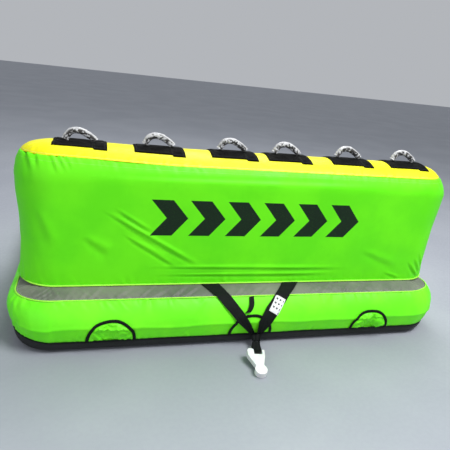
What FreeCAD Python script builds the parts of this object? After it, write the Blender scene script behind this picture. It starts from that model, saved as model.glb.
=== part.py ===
# Three-rider towable tube: a puffy base with a tall front wall, six grab handles,
# valve flaps, and a webbing tow harness that ends in a quick connector.
# Millimetres. +X is to the right as seen from the tow side, +Z is up, and the tow
# side faces -Y. The origin is on the floor under the middle of the base.
import FreeCAD, Part
import math
import os
from FreeCAD import Vector

# ---- driving dimensions ----
BASE_WIDTH = 1980.0
BASE_DEPTH = 1600.0
BASE_HEIGHT = 240.0
BASE_CORNER = 180.0          # plan radius of the base's corners
WIDEST_Z = 110.0             # height where the base's side stands out furthest
LOWER_ROLL = 100.0           # inset at which the underside turns flat
UPPER_ROLL = 150.0           # inset at which the deck turns flat
BOTTOM_SEAM_Z = 53.0
DECK_SEAM_Z = 213.0

WALL_LENGTH = 1936.0
WALL_THICK = 300.0
WALL_TOP = 795.0
WALL_BOTTOM = 240.4
WALL_FRONT_Y = -670.0
WALL_SHIFT_X = 18.0          # the wall is sewn a little to the right
WALL_ROLL_HEIGHT = 130.0     # height of the rounded top
WALL_SEAM_Z = 747.0          # where the green side meets the yellow top

COVER = 1.5                  # coated cover cloth
BLADDER_GAP = 5.0            # from the cover's outside to the bladders
BLADDER_SKIN = 0.8
PIPING_RADIUS = 1.5

RIDER_X = (-587.0, 0.0, 587.0)
SIDES = ("left", "middle", "right")
HANDLE_X = (-735.0, -426.0, -110.0, 142.0, 450.0, 748.0)   # from the wall's middle

PAD_LENGTH = 205.0
PAD_HALF_DEPTH = 75.0
PAD_THICK = 5.0
PAD_BLOCK = 52.0             # wider stitched block at the pad's right end
PAD_BLOCK_EXTRA = 9.0
ANCHOR_LENGTH = 50.0
ANCHOR_WIDTH = 28.0
ANCHOR_THICK = 2.0
ANCHOR_CLEARANCE = 0.4
GRIP_RADIUS = 14.5
GRIP_BORE = 6.3
CORE_RADIUS = 6.0
FOOT_HALF_SPAN = 52.5
ARCH_RISE = 31.0
ARCH_APEX_X = -6.0

FLAP_HALF_WIDTH = 89.0
FLAP_HEIGHT = 100.0
FLAP_THICK = 1.6
FLAP_GAP = 0.4
BINDING_WIDTH = 9.0
BINDING_THICK = 1.2
OPENING_MARGIN = 12.0        # how far the flap overlaps its opening
WALL_FLAP_X = 500.0
WALL_FLAP_Z = 262.0

VALVE_POCKET_RADIUS = 44.0
VALVE_POCKET_DEPTH = 34.0
VALVE_FLANGE_RADIUS = 34.0
VALVE_NECK_RADIUS = 17.0
VALVE_NECK_BORE = 12.0
VALVE_NECK_LENGTH = 12.0
CAP_RADIUS = 22.0
CAP_HEIGHT = 15.0
CAP_CLEARANCE = 0.4
VALVE_Z = 108.0

STRAP_GAP = 3.6              # straps lie over the pipings and the middle flap
STRAP_THICK = 2.4
STRAP_TOP_X = 189.0          # middle of a strap at the wall, from the harness middle
STRAP_HALF = 39.0            # half the slanted strap, measured along X
STRAP_BEND_X = 112.0         # outer edge where the straps start to gather
STRAP_LOW_HALF = 30.0        # gathered strap at the bottom seam
HARNESS_X = 18.0
APEX_X = 30.0
OBLIQUE_DEG = 30.0           # the straps are cut square to this slope

LEAD_YAW_DEG = -14.0         # the lead lies a little to the left
YOKE_WIDTH = 60.0
YOKE_THICK = 6.0
LEAD_WIDTH = 52.0
LEAD_THICK = 5.0
PIN_REACH = 117.0            # from the yoke's root to the connector's pin
PIN_Z = 37.0
PIN_RADIUS = 4.0
EYE_RADIUS = 8.5
CONNECTOR_TILT_DEG = 12.0
CONNECTOR_THICK = 22.0

TAB_WIDTH = 22.0
TAB_THICK = 2.0
ZIP_HALF_LENGTH = 620.0
EVA_LENGTH = 430.0
EVA_DEPTH = 700.0
EVA_THICK = 10.0
EVA_CENTRE_Y = 150.0

HALF_X = BASE_WIDTH / 2
HALF_Y = BASE_DEPTH / 2
LOWER_HEIGHT = WIDEST_Z
UPPER_HEIGHT = BASE_HEIGHT - WIDEST_Z
WALL_HALF = WALL_LENGTH / 2
WALL_ROLL = WALL_THICK / 2
WALL_ROLL_Z = WALL_TOP - WALL_ROLL_HEIGHT
WALL_MID_Y = WALL_FRONT_Y + WALL_THICK / 2

X, Y, Z = Vector(1, 0, 0), Vector(0, 1, 0), Vector(0, 0, 1)


def save(name, shape):
    """Write one node and print its size."""
    solids = shape.Solids
    shape = solids[0] if len(solids) == 1 else Part.makeCompound(solids)
    shape.exportStep("parts/" + name + ".step")
    box = shape.BoundBox
    print("%-26s %d solid(s) valid=%s vol=%.1f cm3  z %.1f..%.1f  y %.1f..%.1f" % (
        name, len(solids), shape.isValid(), shape.Volume / 1000,
        box.ZMin, box.ZMax, box.YMin, box.YMax))


# ---- outlines: an inset from the widest line and a height ----
def roll_point(width, height, middle_z, side, angle, skin):
    """Point on a rounded edge; angle 0 is the widest line, 90 the flat."""
    inset = width - (width - skin) * math.cos(angle)
    return inset, middle_z + side * (height - skin) * math.sin(angle)


def seam_angle(height, middle_z, z):
    return math.asin(abs(z - middle_z) / height)


def side_points(z_low, z_high, skin, steps=7):
    """The base's side from one height to another, over the widest line."""
    points = []
    if z_low < WIDEST_Z:
        start = seam_angle(LOWER_HEIGHT, WIDEST_Z, z_low)
        stop = 0.0 if z_high >= WIDEST_Z else seam_angle(LOWER_HEIGHT, WIDEST_Z, z_high)
        for i in range(steps + 1):
            angle = start + (stop - start) * i / steps
            points.append(roll_point(LOWER_ROLL, LOWER_HEIGHT, WIDEST_Z, -1, angle, skin))
    if z_high > WIDEST_Z:
        start = 0.0 if z_low <= WIDEST_Z else seam_angle(UPPER_HEIGHT, WIDEST_Z, z_low)
        stop = seam_angle(UPPER_HEIGHT, WIDEST_Z, z_high)
        for i in range(1 if points else 0, steps + 1):
            angle = start + (stop - start) * i / steps
            points.append(roll_point(UPPER_ROLL, UPPER_HEIGHT, WIDEST_Z, 1, angle, skin))
    return points


def wall_roll_points(z_low, z_high, skin, steps=7):
    start = seam_angle(WALL_ROLL_HEIGHT, WALL_ROLL_Z, z_low)
    stop = seam_angle(WALL_ROLL_HEIGHT, WALL_ROLL_Z, z_high)
    return [roll_point(WALL_ROLL, WALL_ROLL_HEIGHT, WALL_ROLL_Z, 1,
                       start + (stop - start) * i / steps, skin) for i in range(steps + 1)]


def outline_face(stretches):
    """A face in the YZ plane from stretches of points: two make a line, more a curve."""
    edges = []
    last = None
    first = None
    for stretch in stretches:
        points = [Vector(0, inset, z) for inset, z in stretch]
        if last is not None and last.distanceToPoint(points[0]) > 1e-6:
            edges.append(Part.makeLine(last, points[0]))
        if len(points) == 2:
            edges.append(Part.makeLine(points[0], points[1]))
        else:
            curve = Part.BSplineCurve()
            curve.interpolate(points)
            edges.append(curve.toShape())
        last = points[-1]
        first = first or points[0]
    if last.distanceToPoint(first) > 1e-6:
        edges.append(Part.makeLine(last, first))
    return Part.Face(Part.Wire(edges))


def band_face(outer, inner):
    return outline_face([outer, list(reversed(inner))])


def around(face, half_x, half_y, corner):
    """Take an outline all the way round a rounded rectangle."""
    pieces = []
    for quarter in range(4):
        long, deep = (half_x, half_y) if quarter % 2 == 0 else (half_y, half_x)
        straight = long - corner
        start = face.copy()
        start.translate(Vector(-straight, -deep, 0))
        if straight > 0.01:
            pieces.append(start.extrude(Vector(2 * straight, 0, 0)))
        turn = face.copy()
        turn.translate(Vector(straight, -deep, 0))
        pieces.append(turn.revolve(Vector(straight, -deep + corner, 0), Z, 90))
        for piece in pieces[-2 if straight > 0.01 else -1:]:
            piece.rotate(Vector(0, 0, 0), Z, 90 * quarter)
    return pieces[0].multiFuse(pieces[1:])


def rounded_prism(half_x, half_y, corner, z_low, z_high, centre=(0, 0)):
    """A flat slab with rounded corners."""
    points = []
    edges = []
    for quarter in range(4):
        sign_x = (1, -1, -1, 1)[quarter]
        sign_y = (1, 1, -1, -1)[quarter]
        middle = Vector(sign_x * (half_x - corner), sign_y * (half_y - corner), 0)
        arc = [middle + Vector(corner * math.cos(a), corner * math.sin(a), 0)
               for a in (math.pi / 2 * (quarter + i / 2) for i in range(3))]
        edges.append(Part.Arc(arc[0], arc[1], arc[2]).toShape())
        points.append((arc[0], arc[2]))
    for quarter in range(4):
        edges.append(Part.makeLine(points[quarter][1], points[(quarter + 1) % 4][0]))
    face = Part.Face(Part.Wire(Part.__sortEdges__(edges)))
    face.translate(Vector(centre[0], centre[1], z_low))
    return face.extrude(Vector(0, 0, z_high - z_low))


def polygon_prism(points, direction):
    return Part.Face(Part.makePolygon(points + [points[0]])).extrude(direction)


def front_band(x_low, x_high, z_low, z_high, skin_out, skin_in):
    """A band of the base's front side, skins measured inwards from the cover."""
    face = band_face(side_points(z_low, z_high, skin_out), side_points(z_low, z_high, skin_in))
    face.translate(Vector(x_low, -HALF_Y, 0))
    return face.extrude(Vector(x_high - x_low, 0, 0))


# ---- base cover ----
def puffy_base(skin):
    """The whole base as one solid, drawn in by a skin."""
    low = roll_point(LOWER_ROLL, LOWER_HEIGHT, WIDEST_Z, -1, math.pi / 2, skin)
    high = roll_point(UPPER_ROLL, UPPER_HEIGHT, WIDEST_Z, 1, math.pi / 2, skin)
    side = [roll_point(LOWER_ROLL, LOWER_HEIGHT, WIDEST_Z, -1, math.pi / 2 * (1 - i / 6), skin)
            for i in range(7)]
    side += [roll_point(UPPER_ROLL, UPPER_HEIGHT, WIDEST_Z, 1, math.pi / 2 * i / 6, skin)
             for i in range(1, 7)]
    core = UPPER_ROLL + 5
    face = outline_face([[(core, low[1]), low], side, [high, (core, high[1])]])
    ring = around(face, HALF_X, HALF_Y, BASE_CORNER)
    middle = rounded_prism(HALF_X - core, HALF_Y - core, BASE_CORNER - core, low[1], high[1])
    return ring.fuse(middle).removeSplitter()


def half_moon(half_width, height, x_mid, z_low, y_low, y_high):
    """A half-moon block standing on its straight edge, along Y."""
    ellipse = Part.Ellipse(Vector(0, 0, 0), max(height, half_width), min(height, half_width))
    edge = ellipse.toShape()
    if height > half_width:
        edge.rotate(Vector(0, 0, 0), Z, 90)
    disc = Part.Face(Part.Wire([edge]))
    disc.rotate(Vector(0, 0, 0), X, 90)
    disc.translate(Vector(x_mid, y_high, z_low))
    block = disc.extrude(Vector(0, y_low - y_high, 0))
    size = 2 * max(height, half_width)
    keep = Part.makeBox(2 * size, y_high - y_low + 20, size,
                        Vector(x_mid - size, y_low - 10, z_low))
    return block.common(keep)


def base_cover():
    face = band_face(side_points(BOTTOM_SEAM_Z, DECK_SEAM_Z, 0),
                     side_points(BOTTOM_SEAM_Z, DECK_SEAM_Z, COVER))
    side = around(face, HALF_X, HALF_Y, BASE_CORNER)
    for x in RIDER_X:
        side = side.cut(half_moon(FLAP_HALF_WIDTH - OPENING_MARGIN, FLAP_HEIGHT - OPENING_MARGIN,
                                  x, BOTTOM_SEAM_Z + 4, -HALF_Y - 20, -HALF_Y + 60))
    save("base_side_panel", side)

    def flat_panel(seam_z, width, height, sign, name):
        start = seam_angle(height, WIDEST_Z, seam_z)
        stop = math.pi / 2
        out, inside = [], []
        for i in range(7):
            angle = start + (stop - start) * i / 6
            out.append(roll_point(width, height, WIDEST_Z, sign, angle, 0))
            inside.append(roll_point(width, height, WIDEST_Z, sign, angle, COVER))
        core = width + 5
        top_z, under_z = out[-1][1], inside[-1][1]
        face = outline_face([out, [out[-1], (core, top_z)], [(core, top_z), (core, under_z)],
                             [(core, under_z), inside[-1]], list(reversed(inside))])
        ring = around(face, HALF_X, HALF_Y, BASE_CORNER)
        middle = rounded_prism(HALF_X - core, HALF_Y - core, BASE_CORNER - core,
                               min(top_z, under_z), max(top_z, under_z))
        save(name, ring.fuse(middle).removeSplitter())

    seam_gap = 0.3
    flat_panel(DECK_SEAM_Z + seam_gap, UPPER_ROLL, UPPER_HEIGHT, 1, "base_deck_panel")
    flat_panel(BOTTOM_SEAM_Z - seam_gap, LOWER_ROLL, LOWER_HEIGHT, -1, "base_bottom_panel")


def piping(name, inset, z, half_x, half_y, corner, shift=(0, 0)):
    circle = Part.Face(Part.Wire([Part.makeCircle(PIPING_RADIUS, Vector(0, inset, z), X)]))
    ring = around(circle, half_x, half_y, corner)
    ring.translate(Vector(shift[0], shift[1], 0))
    save(name, ring)


def pipings():
    stand_off = -(PIPING_RADIUS + 0.2)
    deck = roll_point(UPPER_ROLL, UPPER_HEIGHT, WIDEST_Z, 1,
                      seam_angle(UPPER_HEIGHT, WIDEST_Z, DECK_SEAM_Z), stand_off)
    piping("deck_piping", deck[0], deck[1], HALF_X, HALF_Y, BASE_CORNER)
    bottom = roll_point(LOWER_ROLL, LOWER_HEIGHT, WIDEST_Z, -1,
                        seam_angle(LOWER_HEIGHT, WIDEST_Z, BOTTOM_SEAM_Z), stand_off)
    # runs all round, just below the flaps' straight edges
    piping("bottom_binding", bottom[0], bottom[1] - 2.5, HALF_X, HALF_Y, BASE_CORNER)
    piping("wall_piping", stand_off, WALL_BOTTOM + PIPING_RADIUS + 0.6,
           WALL_HALF, WALL_THICK / 2, WALL_THICK / 2, (WALL_SHIFT_X, WALL_MID_Y))


# ---- bladders ----
def pocket(centre, direction, radius, depth):
    """A round hole for a valve, from well outside to its floor."""
    reach = 60.0
    return Part.makeCylinder(radius, reach + depth, centre - direction * reach, direction)


def base_bladders():
    outer = puffy_base(BLADDER_GAP)
    inner = puffy_base(BLADDER_GAP + BLADDER_SKIN)
    third = BASE_WIDTH / 3
    gap = 2.0
    for i, side in enumerate(SIDES):
        x_low = -HALF_X + third * i + gap
        x_high = x_low + third - 2 * gap
        shell = outer.common(Part.makeBox(x_high - x_low, BASE_DEPTH, BASE_HEIGHT,
                                          Vector(x_low, -HALF_Y, 0)))
        cavity = inner.common(Part.makeBox(x_high - x_low - 2 * BLADDER_SKIN, BASE_DEPTH,
                                           BASE_HEIGHT, Vector(x_low + BLADDER_SKIN, -HALF_Y, 0)))
        mouth = Vector(RIDER_X[i], -HALF_Y, VALVE_Z)
        shell = shell.cut(pocket(mouth, Y, VALVE_POCKET_RADIUS, VALVE_POCKET_DEPTH))
        cavity = cavity.cut(pocket(mouth, Y, VALVE_POCKET_RADIUS + BLADDER_SKIN,
                                   VALVE_POCKET_DEPTH + BLADDER_SKIN))
        save("base_bladder_" + side, shell.cut(cavity))


def puffy_wall(skin, z_low):
    roll = [roll_point(WALL_ROLL, WALL_ROLL_HEIGHT, WALL_ROLL_Z, 1, math.pi / 2 * i / 8, skin)
            for i in range(9)]
    face = outline_face([[(WALL_ROLL, z_low), (skin, z_low)], [(skin, z_low), (skin, WALL_ROLL_Z)],
                         roll, [roll[-1], (WALL_ROLL, z_low)]])
    solid = around(face, WALL_HALF, WALL_THICK / 2, WALL_THICK / 2).removeSplitter()
    solid.translate(Vector(WALL_SHIFT_X, WALL_MID_Y, 0))
    return solid


def wall_bladder():
    floor = WALL_BOTTOM + 4.0
    shell = puffy_wall(BLADDER_GAP, floor)
    cavity = puffy_wall(BLADDER_GAP + BLADDER_SKIN, floor + BLADDER_SKIN)
    mouth = Vector(WALL_FLAP_X, WALL_FRONT_Y + WALL_THICK, WALL_FLAP_Z + 48)
    inward = Vector(0, -1, 0)
    shell = shell.cut(pocket(mouth, inward, VALVE_POCKET_RADIUS, VALVE_POCKET_DEPTH))
    cavity = cavity.cut(pocket(mouth, inward, VALVE_POCKET_RADIUS + BLADDER_SKIN,
                               VALVE_POCKET_DEPTH + BLADDER_SKIN))
    save("wall_bladder", shell.cut(cavity))


def wall_cover():
    roll_out = wall_roll_points(WALL_ROLL_Z, WALL_SEAM_Z - 0.15, 0)
    roll_in = wall_roll_points(WALL_ROLL_Z, WALL_SEAM_Z - 0.15, COVER)
    face = outline_face([[(0, WALL_BOTTOM), (0, WALL_ROLL_Z)], roll_out, list(reversed(roll_in)),
                         [(COVER, WALL_ROLL_Z), (COVER, WALL_BOTTOM)]])
    side = around(face, WALL_HALF, WALL_THICK / 2, WALL_THICK / 2)
    side.translate(Vector(WALL_SHIFT_X, WALL_MID_Y, 0))
    back_y = WALL_FRONT_Y + WALL_THICK
    side = side.cut(half_moon(FLAP_HALF_WIDTH - OPENING_MARGIN, FLAP_HEIGHT - OPENING_MARGIN,
                              WALL_FLAP_X, WALL_FLAP_Z + 4, back_y - 30, back_y + 30))
    save("wall_side_panel", side)

    top_out = wall_roll_points(WALL_SEAM_Z + 0.15, WALL_TOP, 0)
    top_in = wall_roll_points(WALL_SEAM_Z + 0.15, WALL_TOP, COVER)
    top = around(band_face(top_out, top_in), WALL_HALF, WALL_THICK / 2, WALL_THICK / 2)
    top.translate(Vector(WALL_SHIFT_X, WALL_MID_Y, 0))
    save("wall_top_panel", top)


# ---- valves and flaps ----
def valve(centre, outward):
    """A screw valve: flange and threaded neck on the bladder, and its cap."""
    flange = Part.makeCylinder(VALVE_FLANGE_RADIUS, 2.0, centre, outward)
    neck = Part.makeCylinder(VALVE_NECK_RADIUS, VALVE_NECK_LENGTH, centre, outward)
    bore = Part.makeCylinder(VALVE_NECK_BORE, VALVE_NECK_LENGTH + 2, centre - outward, outward)
    body = flange.fuse(neck).cut(bore).removeSplitter()
    start = centre + outward * 2.8
    cap = Part.makeCylinder(CAP_RADIUS, CAP_HEIGHT, start, outward)
    hollow = Part.makeCylinder(VALVE_NECK_RADIUS + CAP_CLEARANCE,
                               VALVE_NECK_LENGTH - 2.8 + CAP_CLEARANCE, start - outward * 0.01,
                               outward)
    bar = Part.makeBox(34, 4, 5)
    bar.rotate(Vector(0, 0, 0), X, 90)
    bar.translate(Vector(start.x - 17, 0, start.z - 2.5))
    lowest = start.y + outward.y * (CAP_HEIGHT - 0.5)
    bar.translate(Vector(0, lowest - (bar.BoundBox.YMax if outward.y < 0 else bar.BoundBox.YMin), 0))
    return body, cap.cut(hollow).fuse(bar).removeSplitter()


def base_flap(x_mid, side):
    low = BOTTOM_SEAM_Z + 2.0
    block = half_moon(FLAP_HALF_WIDTH, FLAP_HEIGHT, x_mid, low, -HALF_Y - 30, -HALF_Y + 60)
    hole = half_moon(FLAP_HALF_WIDTH - BINDING_WIDTH, FLAP_HEIGHT - BINDING_WIDTH, x_mid,
                     low - 5, -HALF_Y - 30, -HALF_Y + 60)
    high = low + FLAP_HEIGHT + 2
    cloth = front_band(x_mid - 100, x_mid + 100, low, high, -FLAP_GAP - FLAP_THICK, -FLAP_GAP)
    tape = front_band(x_mid - 100, x_mid + 100, low, high,
                      -FLAP_GAP - FLAP_THICK - BINDING_THICK, -FLAP_GAP - FLAP_THICK)
    save("base_flap_" + side, cloth.common(block))
    save("base_flap_binding_" + side, tape.common(block).cut(hole))


def wall_flap():
    back_y = WALL_FRONT_Y + WALL_THICK
    block = half_moon(FLAP_HALF_WIDTH, FLAP_HEIGHT, WALL_FLAP_X, WALL_FLAP_Z,
                      back_y + FLAP_GAP, back_y + FLAP_GAP + FLAP_THICK)
    save("wall_flap", block)
    tape_y = back_y + FLAP_GAP + FLAP_THICK
    tape = half_moon(FLAP_HALF_WIDTH, FLAP_HEIGHT, WALL_FLAP_X, WALL_FLAP_Z,
                     tape_y, tape_y + BINDING_THICK)
    hole = half_moon(FLAP_HALF_WIDTH - BINDING_WIDTH, FLAP_HEIGHT - BINDING_WIDTH, WALL_FLAP_X,
                     WALL_FLAP_Z - 5, tape_y - 5, tape_y + 5)
    save("wall_flap_binding", tape.cut(hole))


def valves_and_flaps():
    bodies = []
    for x, side in zip(RIDER_X, SIDES):
        floor = Vector(x, -HALF_Y + VALVE_POCKET_DEPTH - 0.3, VALVE_Z)
        body, cap = valve(floor, Vector(0, -1, 0))
        bodies.append(body)
        save("base_valve_cap_" + side, cap)
        base_flap(x, side)
    save("base_valves", Part.makeCompound(bodies))
    back_y = WALL_FRONT_Y + WALL_THICK
    floor = Vector(WALL_FLAP_X, back_y - VALVE_POCKET_DEPTH + 0.3, WALL_FLAP_Z + 48)
    body, cap = valve(floor, Y)
    save("wall_valve", body)
    save("wall_valve_cap", cap)
    wall_flap()


# ---- handles ----
def pad_slice(x_low, x_high, half_depth, skin_out, skin_in):
    """Cloth over the crest of the wall, from one X to another."""
    start = math.acos(half_depth / WALL_ROLL)
    steps = 10
    out, inside = [], []
    for i in range(steps + 1):
        angle = start + (math.pi - 2 * start) * i / steps
        out.append(roll_point(WALL_ROLL, WALL_ROLL_HEIGHT, WALL_ROLL_Z, 1, angle, skin_out))
        inside.append(roll_point(WALL_ROLL, WALL_ROLL_HEIGHT, WALL_ROLL_Z, 1, angle, skin_in))
    face = band_face(out, inside)
    face.translate(Vector(x_low, WALL_FRONT_Y, 0))
    return face.extrude(Vector(x_high - x_low, 0, 0))


def arch_wire(x_mid, axis_z):
    """Left foot, rounded apex, right foot, all in one upright plane."""
    left = Vector(x_mid - FOOT_HALF_SPAN, WALL_MID_Y, axis_z)
    apex = Vector(x_mid + ARCH_APEX_X, WALL_MID_Y, axis_z + ARCH_RISE + 3.0)
    right = Vector(x_mid + FOOT_HALF_SPAN, WALL_MID_Y, axis_z)
    into = (apex - left).normalize()
    out = (right - apex).normalize()
    turn = math.acos(into.dot(out))
    radius = 0.45 * min(left.distanceToPoint(apex), right.distanceToPoint(apex)) / math.tan(turn / 2)
    cut_back = radius * math.tan(turn / 2)
    start = apex - into * cut_back
    stop = apex + out * cut_back
    inward = (out - into).normalize()
    centre = apex + inward * (radius / math.cos(turn / 2))
    middle = centre - inward * radius
    edges = [Part.makeLine(left, start), Part.Arc(start, middle, stop).toShape(),
             Part.makeLine(stop, right)]
    return Part.Wire(edges), left, right, into


def tube_along(wire, start, direction, radius):
    section = Part.Wire([Part.makeCircle(radius, start, direction)])
    return wire.makePipeShell([section], True, False)


def handle_pad(x_mid):
    """Cloth pad over the crest with a wider stitched block at its right end."""
    left = x_mid - PAD_LENGTH / 2
    wide = PAD_HALF_DEPTH + PAD_BLOCK_EXTRA
    pad = pad_slice(left, left + PAD_LENGTH, wide, -PAD_THICK, -0.2)
    for y in (WALL_MID_Y - wide - 10, WALL_MID_Y + PAD_HALF_DEPTH):
        pad = pad.cut(Part.makeBox(PAD_LENGTH - PAD_BLOCK + 1, PAD_BLOCK_EXTRA + 10, 80,
                                   Vector(left - 1, y, WALL_ROLL_Z + 60)))
    return pad


def handle_grip_and_core():
    """Foam sleeve with ball ends on the tilt axis, and the webbing core inside it."""
    axis_z = WALL_TOP + PAD_THICK + ANCHOR_THICK + ANCHOR_CLEARANCE + GRIP_RADIUS
    wire, left, right, into = arch_wire(0.0, axis_z)
    sleeve = tube_along(wire, left, into, GRIP_RADIUS)
    for foot in (left, right):
        sleeve = sleeve.fuse(Part.makeSphere(GRIP_RADIUS, foot))
    bore = tube_along(wire, left, into, GRIP_BORE)
    return sleeve.cut(bore), tube_along(wire, left, into, CORE_RADIUS)


def handles():
    grip, core = handle_grip_and_core()
    pad_top = WALL_TOP + PAD_THICK
    anchors = []
    for number, offset in enumerate(HANDLE_X, 1):
        x_mid = WALL_SHIFT_X + offset
        name = "handle_%d" % number
        save(name + "_pad", handle_pad(x_mid))
        anchors += [Part.makeBox(ANCHOR_LENGTH, ANCHOR_WIDTH, ANCHOR_THICK,
                                 Vector(x_mid + s * (FOOT_HALF_SPAN + 10) - ANCHOR_LENGTH / 2,
                                        WALL_MID_Y - ANCHOR_WIDTH / 2, pad_top)) for s in (-1, 1)]
        for shape, part in ((grip, "_grip"), (core, "_core")):
            piece = shape.copy()
            piece.translate(Vector(x_mid, 0, 0))
            save(name + part, piece)
    save("handle_anchors", Part.makeCompound(anchors))


# ---- tow harness ----
def oblique(points):
    """A prism square to the slope that the straps are cut on, from x and slope height."""
    slope = math.radians(OBLIQUE_DEG)
    forward = Vector(0, math.cos(slope), -math.sin(slope))
    up = Vector(0, math.sin(slope), math.cos(slope))
    flat = [X * x + up * w - forward * 2000 for x, w in points]
    return polygon_prism(flat, forward * 4000)


def slope_height(y, z):
    slope = math.radians(OBLIQUE_DEG)
    return z * math.cos(slope) + y * math.sin(slope)


def strap_outline(sign):
    top = slope_height(-677.0, 242.0)
    bend = slope_height(-799.0, 122.0)
    low = slope_height(-789.0, 54.0)
    top_x = HARNESS_X + sign * STRAP_TOP_X
    return [(top_x - sign * STRAP_HALF, top), (top_x + sign * STRAP_HALF, top),
            (HARNESS_X + sign * STRAP_BEND_X, bend), (APEX_X + sign * STRAP_LOW_HALF, low),
            (APEX_X + sign * 1.5, low)]


def harness():
    for sign, side in ((-1, "left"), (1, "right")):
        band = front_band(-400, 400, BOTTOM_SEAM_Z + 3, BASE_HEIGHT - 1.6,
                          -STRAP_GAP - STRAP_THICK, -STRAP_GAP)
        save("harness_strap_" + side, band.common(oblique(strap_outline(sign))))
    label_skin = -STRAP_GAP - STRAP_THICK
    label = front_band(0, 300, 120, 225, label_skin - 0.6, label_skin - 0.05)
    top_left, along, across = (116.0, -184.0), (-47.0, -67.0), (40.0, -22.0)
    corners = [top_left, (top_left[0] + across[0], top_left[1] + across[1]),
               (top_left[0] + across[0] + along[0], top_left[1] + across[1] + along[1]),
               (top_left[0] + along[0], top_left[1] + along[1])]
    save("harness_label", label.common(oblique(corners)))


def lead_place(shape):
    """From the lead's own frame (forward is -Y, origin under the apex) to the tube."""
    shape.rotate(Vector(0, 0, 0), Z, LEAD_YAW_DEG)
    shape.translate(Vector(APEX_X, -HALF_Y + 6.0, 0))
    return shape


def ribbon(points, width, thick):
    """A flat strap along points (reach, height), bent in the upright plane."""
    pieces = []
    for (s0, z0), (s1, z1) in zip(points, points[1:]):
        length = math.hypot(s1 - s0, z1 - z0)
        nx, nz = -(z1 - z0) / length * thick / 2, (s1 - s0) / length * thick / 2
        corners = [Vector(-width / 2, -(s0 + nx), z0 + nz), Vector(-width / 2, -(s1 + nx), z1 + nz),
                   Vector(-width / 2, -(s1 - nx), z1 - nz), Vector(-width / 2, -(s0 - nx), z0 - nz)]
        pieces.append(polygon_prism(corners, Vector(width, 0, 0)))
    for s, z in points[1:-1]:
        pieces.append(Part.makeCylinder(thick / 2, width, Vector(-width / 2, -s, z), X))
    solid = pieces[0]
    for piece in pieces[1:]:
        solid = solid.fuse(piece)
    return solid.removeSplitter()


def tow_lead():
    yoke = ribbon([(4.0, 50.6), (10.0, 46.2), (30.0, 37.5)], YOKE_WIDTH, YOKE_THICK)
    save("harness_yoke", lead_place(yoke))
    lead = ribbon([(34.0, 35.0), (70.0, 17.0), (92.0, 20.0), (PIN_REACH - 5.5, 31.0)],
                  LEAD_WIDTH - 22, LEAD_THICK)
    wide = ribbon([(34.0, 35.0), (70.0, 17.0), (84.0, 18.5)], LEAD_WIDTH, LEAD_THICK)
    eye = Part.makeCylinder(EYE_RADIUS, LEAD_WIDTH - 22,
                            Vector(-(LEAD_WIDTH - 22) / 2, -PIN_REACH, PIN_Z), X)
    hole = Part.makeCylinder(PIN_RADIUS + 0.3, 200, Vector(-100, -PIN_REACH, PIN_Z), X)
    save("tow_lead", lead_place(lead.fuse(wide).fuse(eye).cut(hole).removeSplitter()))


def connector():
    """Flat moulded body: two lobes that carry the pin, a waist and a round knob."""
    thick = CONNECTOR_THICK
    slot_half = 17.0
    pin_back = 14.0                       # slot floor to pin

    def slab(points):
        return polygon_prism([Vector(x, -u, -thick / 2) for x, u in points], Z * thick)

    def disc(x, u, radius, height):
        return Part.makeCylinder(radius, height, Vector(x, -u, -height / 2), Z)

    body = slab([(-45, -14), (28, -14), (27, 10), (17, 52), (20, 78), (-18, 78), (-19, 58), (-45, 5)])
    body = body.fuse(disc(-30.0, -16, 15.0, thick)).fuse(disc(22.5, -18, 6.0, thick))
    body = body.fuse(disc(1, 80, 25.0, thick + 3))
    slot = Part.makeBox(2 * slot_half, 60, 60, Vector(-slot_half, 0, -30))
    body = body.cut(slot)
    body = body.fuse(disc(-30.0, -16, 12.9, thick)).removeSplitter()
    pin_hole = Part.makeCylinder(PIN_RADIUS, 56, Vector(-31, pin_back, 0), X)
    body = body.cut(pin_hole)
    pin = Part.makeCylinder(PIN_RADIUS - 0.03, 55, Vector(-30.5, pin_back, 0), X)
    for shape, name in ((body, "connector_body"), (pin, "connector_pin")):
        shape.translate(Vector(0, -pin_back, 0))
        shape.rotate(Vector(0, 0, 0), X, CONNECTOR_TILT_DEG)
        shape.translate(Vector(0, -PIN_REACH, PIN_Z))
        save(name, lead_place(shape))


# ---- small things ----
def tether_tab():
    band = front_band(-30, 30, 166, DECK_SEAM_Z - 2, -STRAP_GAP - TAB_THICK, -STRAP_GAP)
    outline = [Vector(-8, -900, 215), Vector(14, -900, 215), Vector(12, -900, 184),
               Vector(0, -900, 160), Vector(-26, -900, 160), Vector(-12, -900, 184)]
    save("tether_tab", band.common(polygon_prism(outline, Vector(0, 200, 0))))


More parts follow.
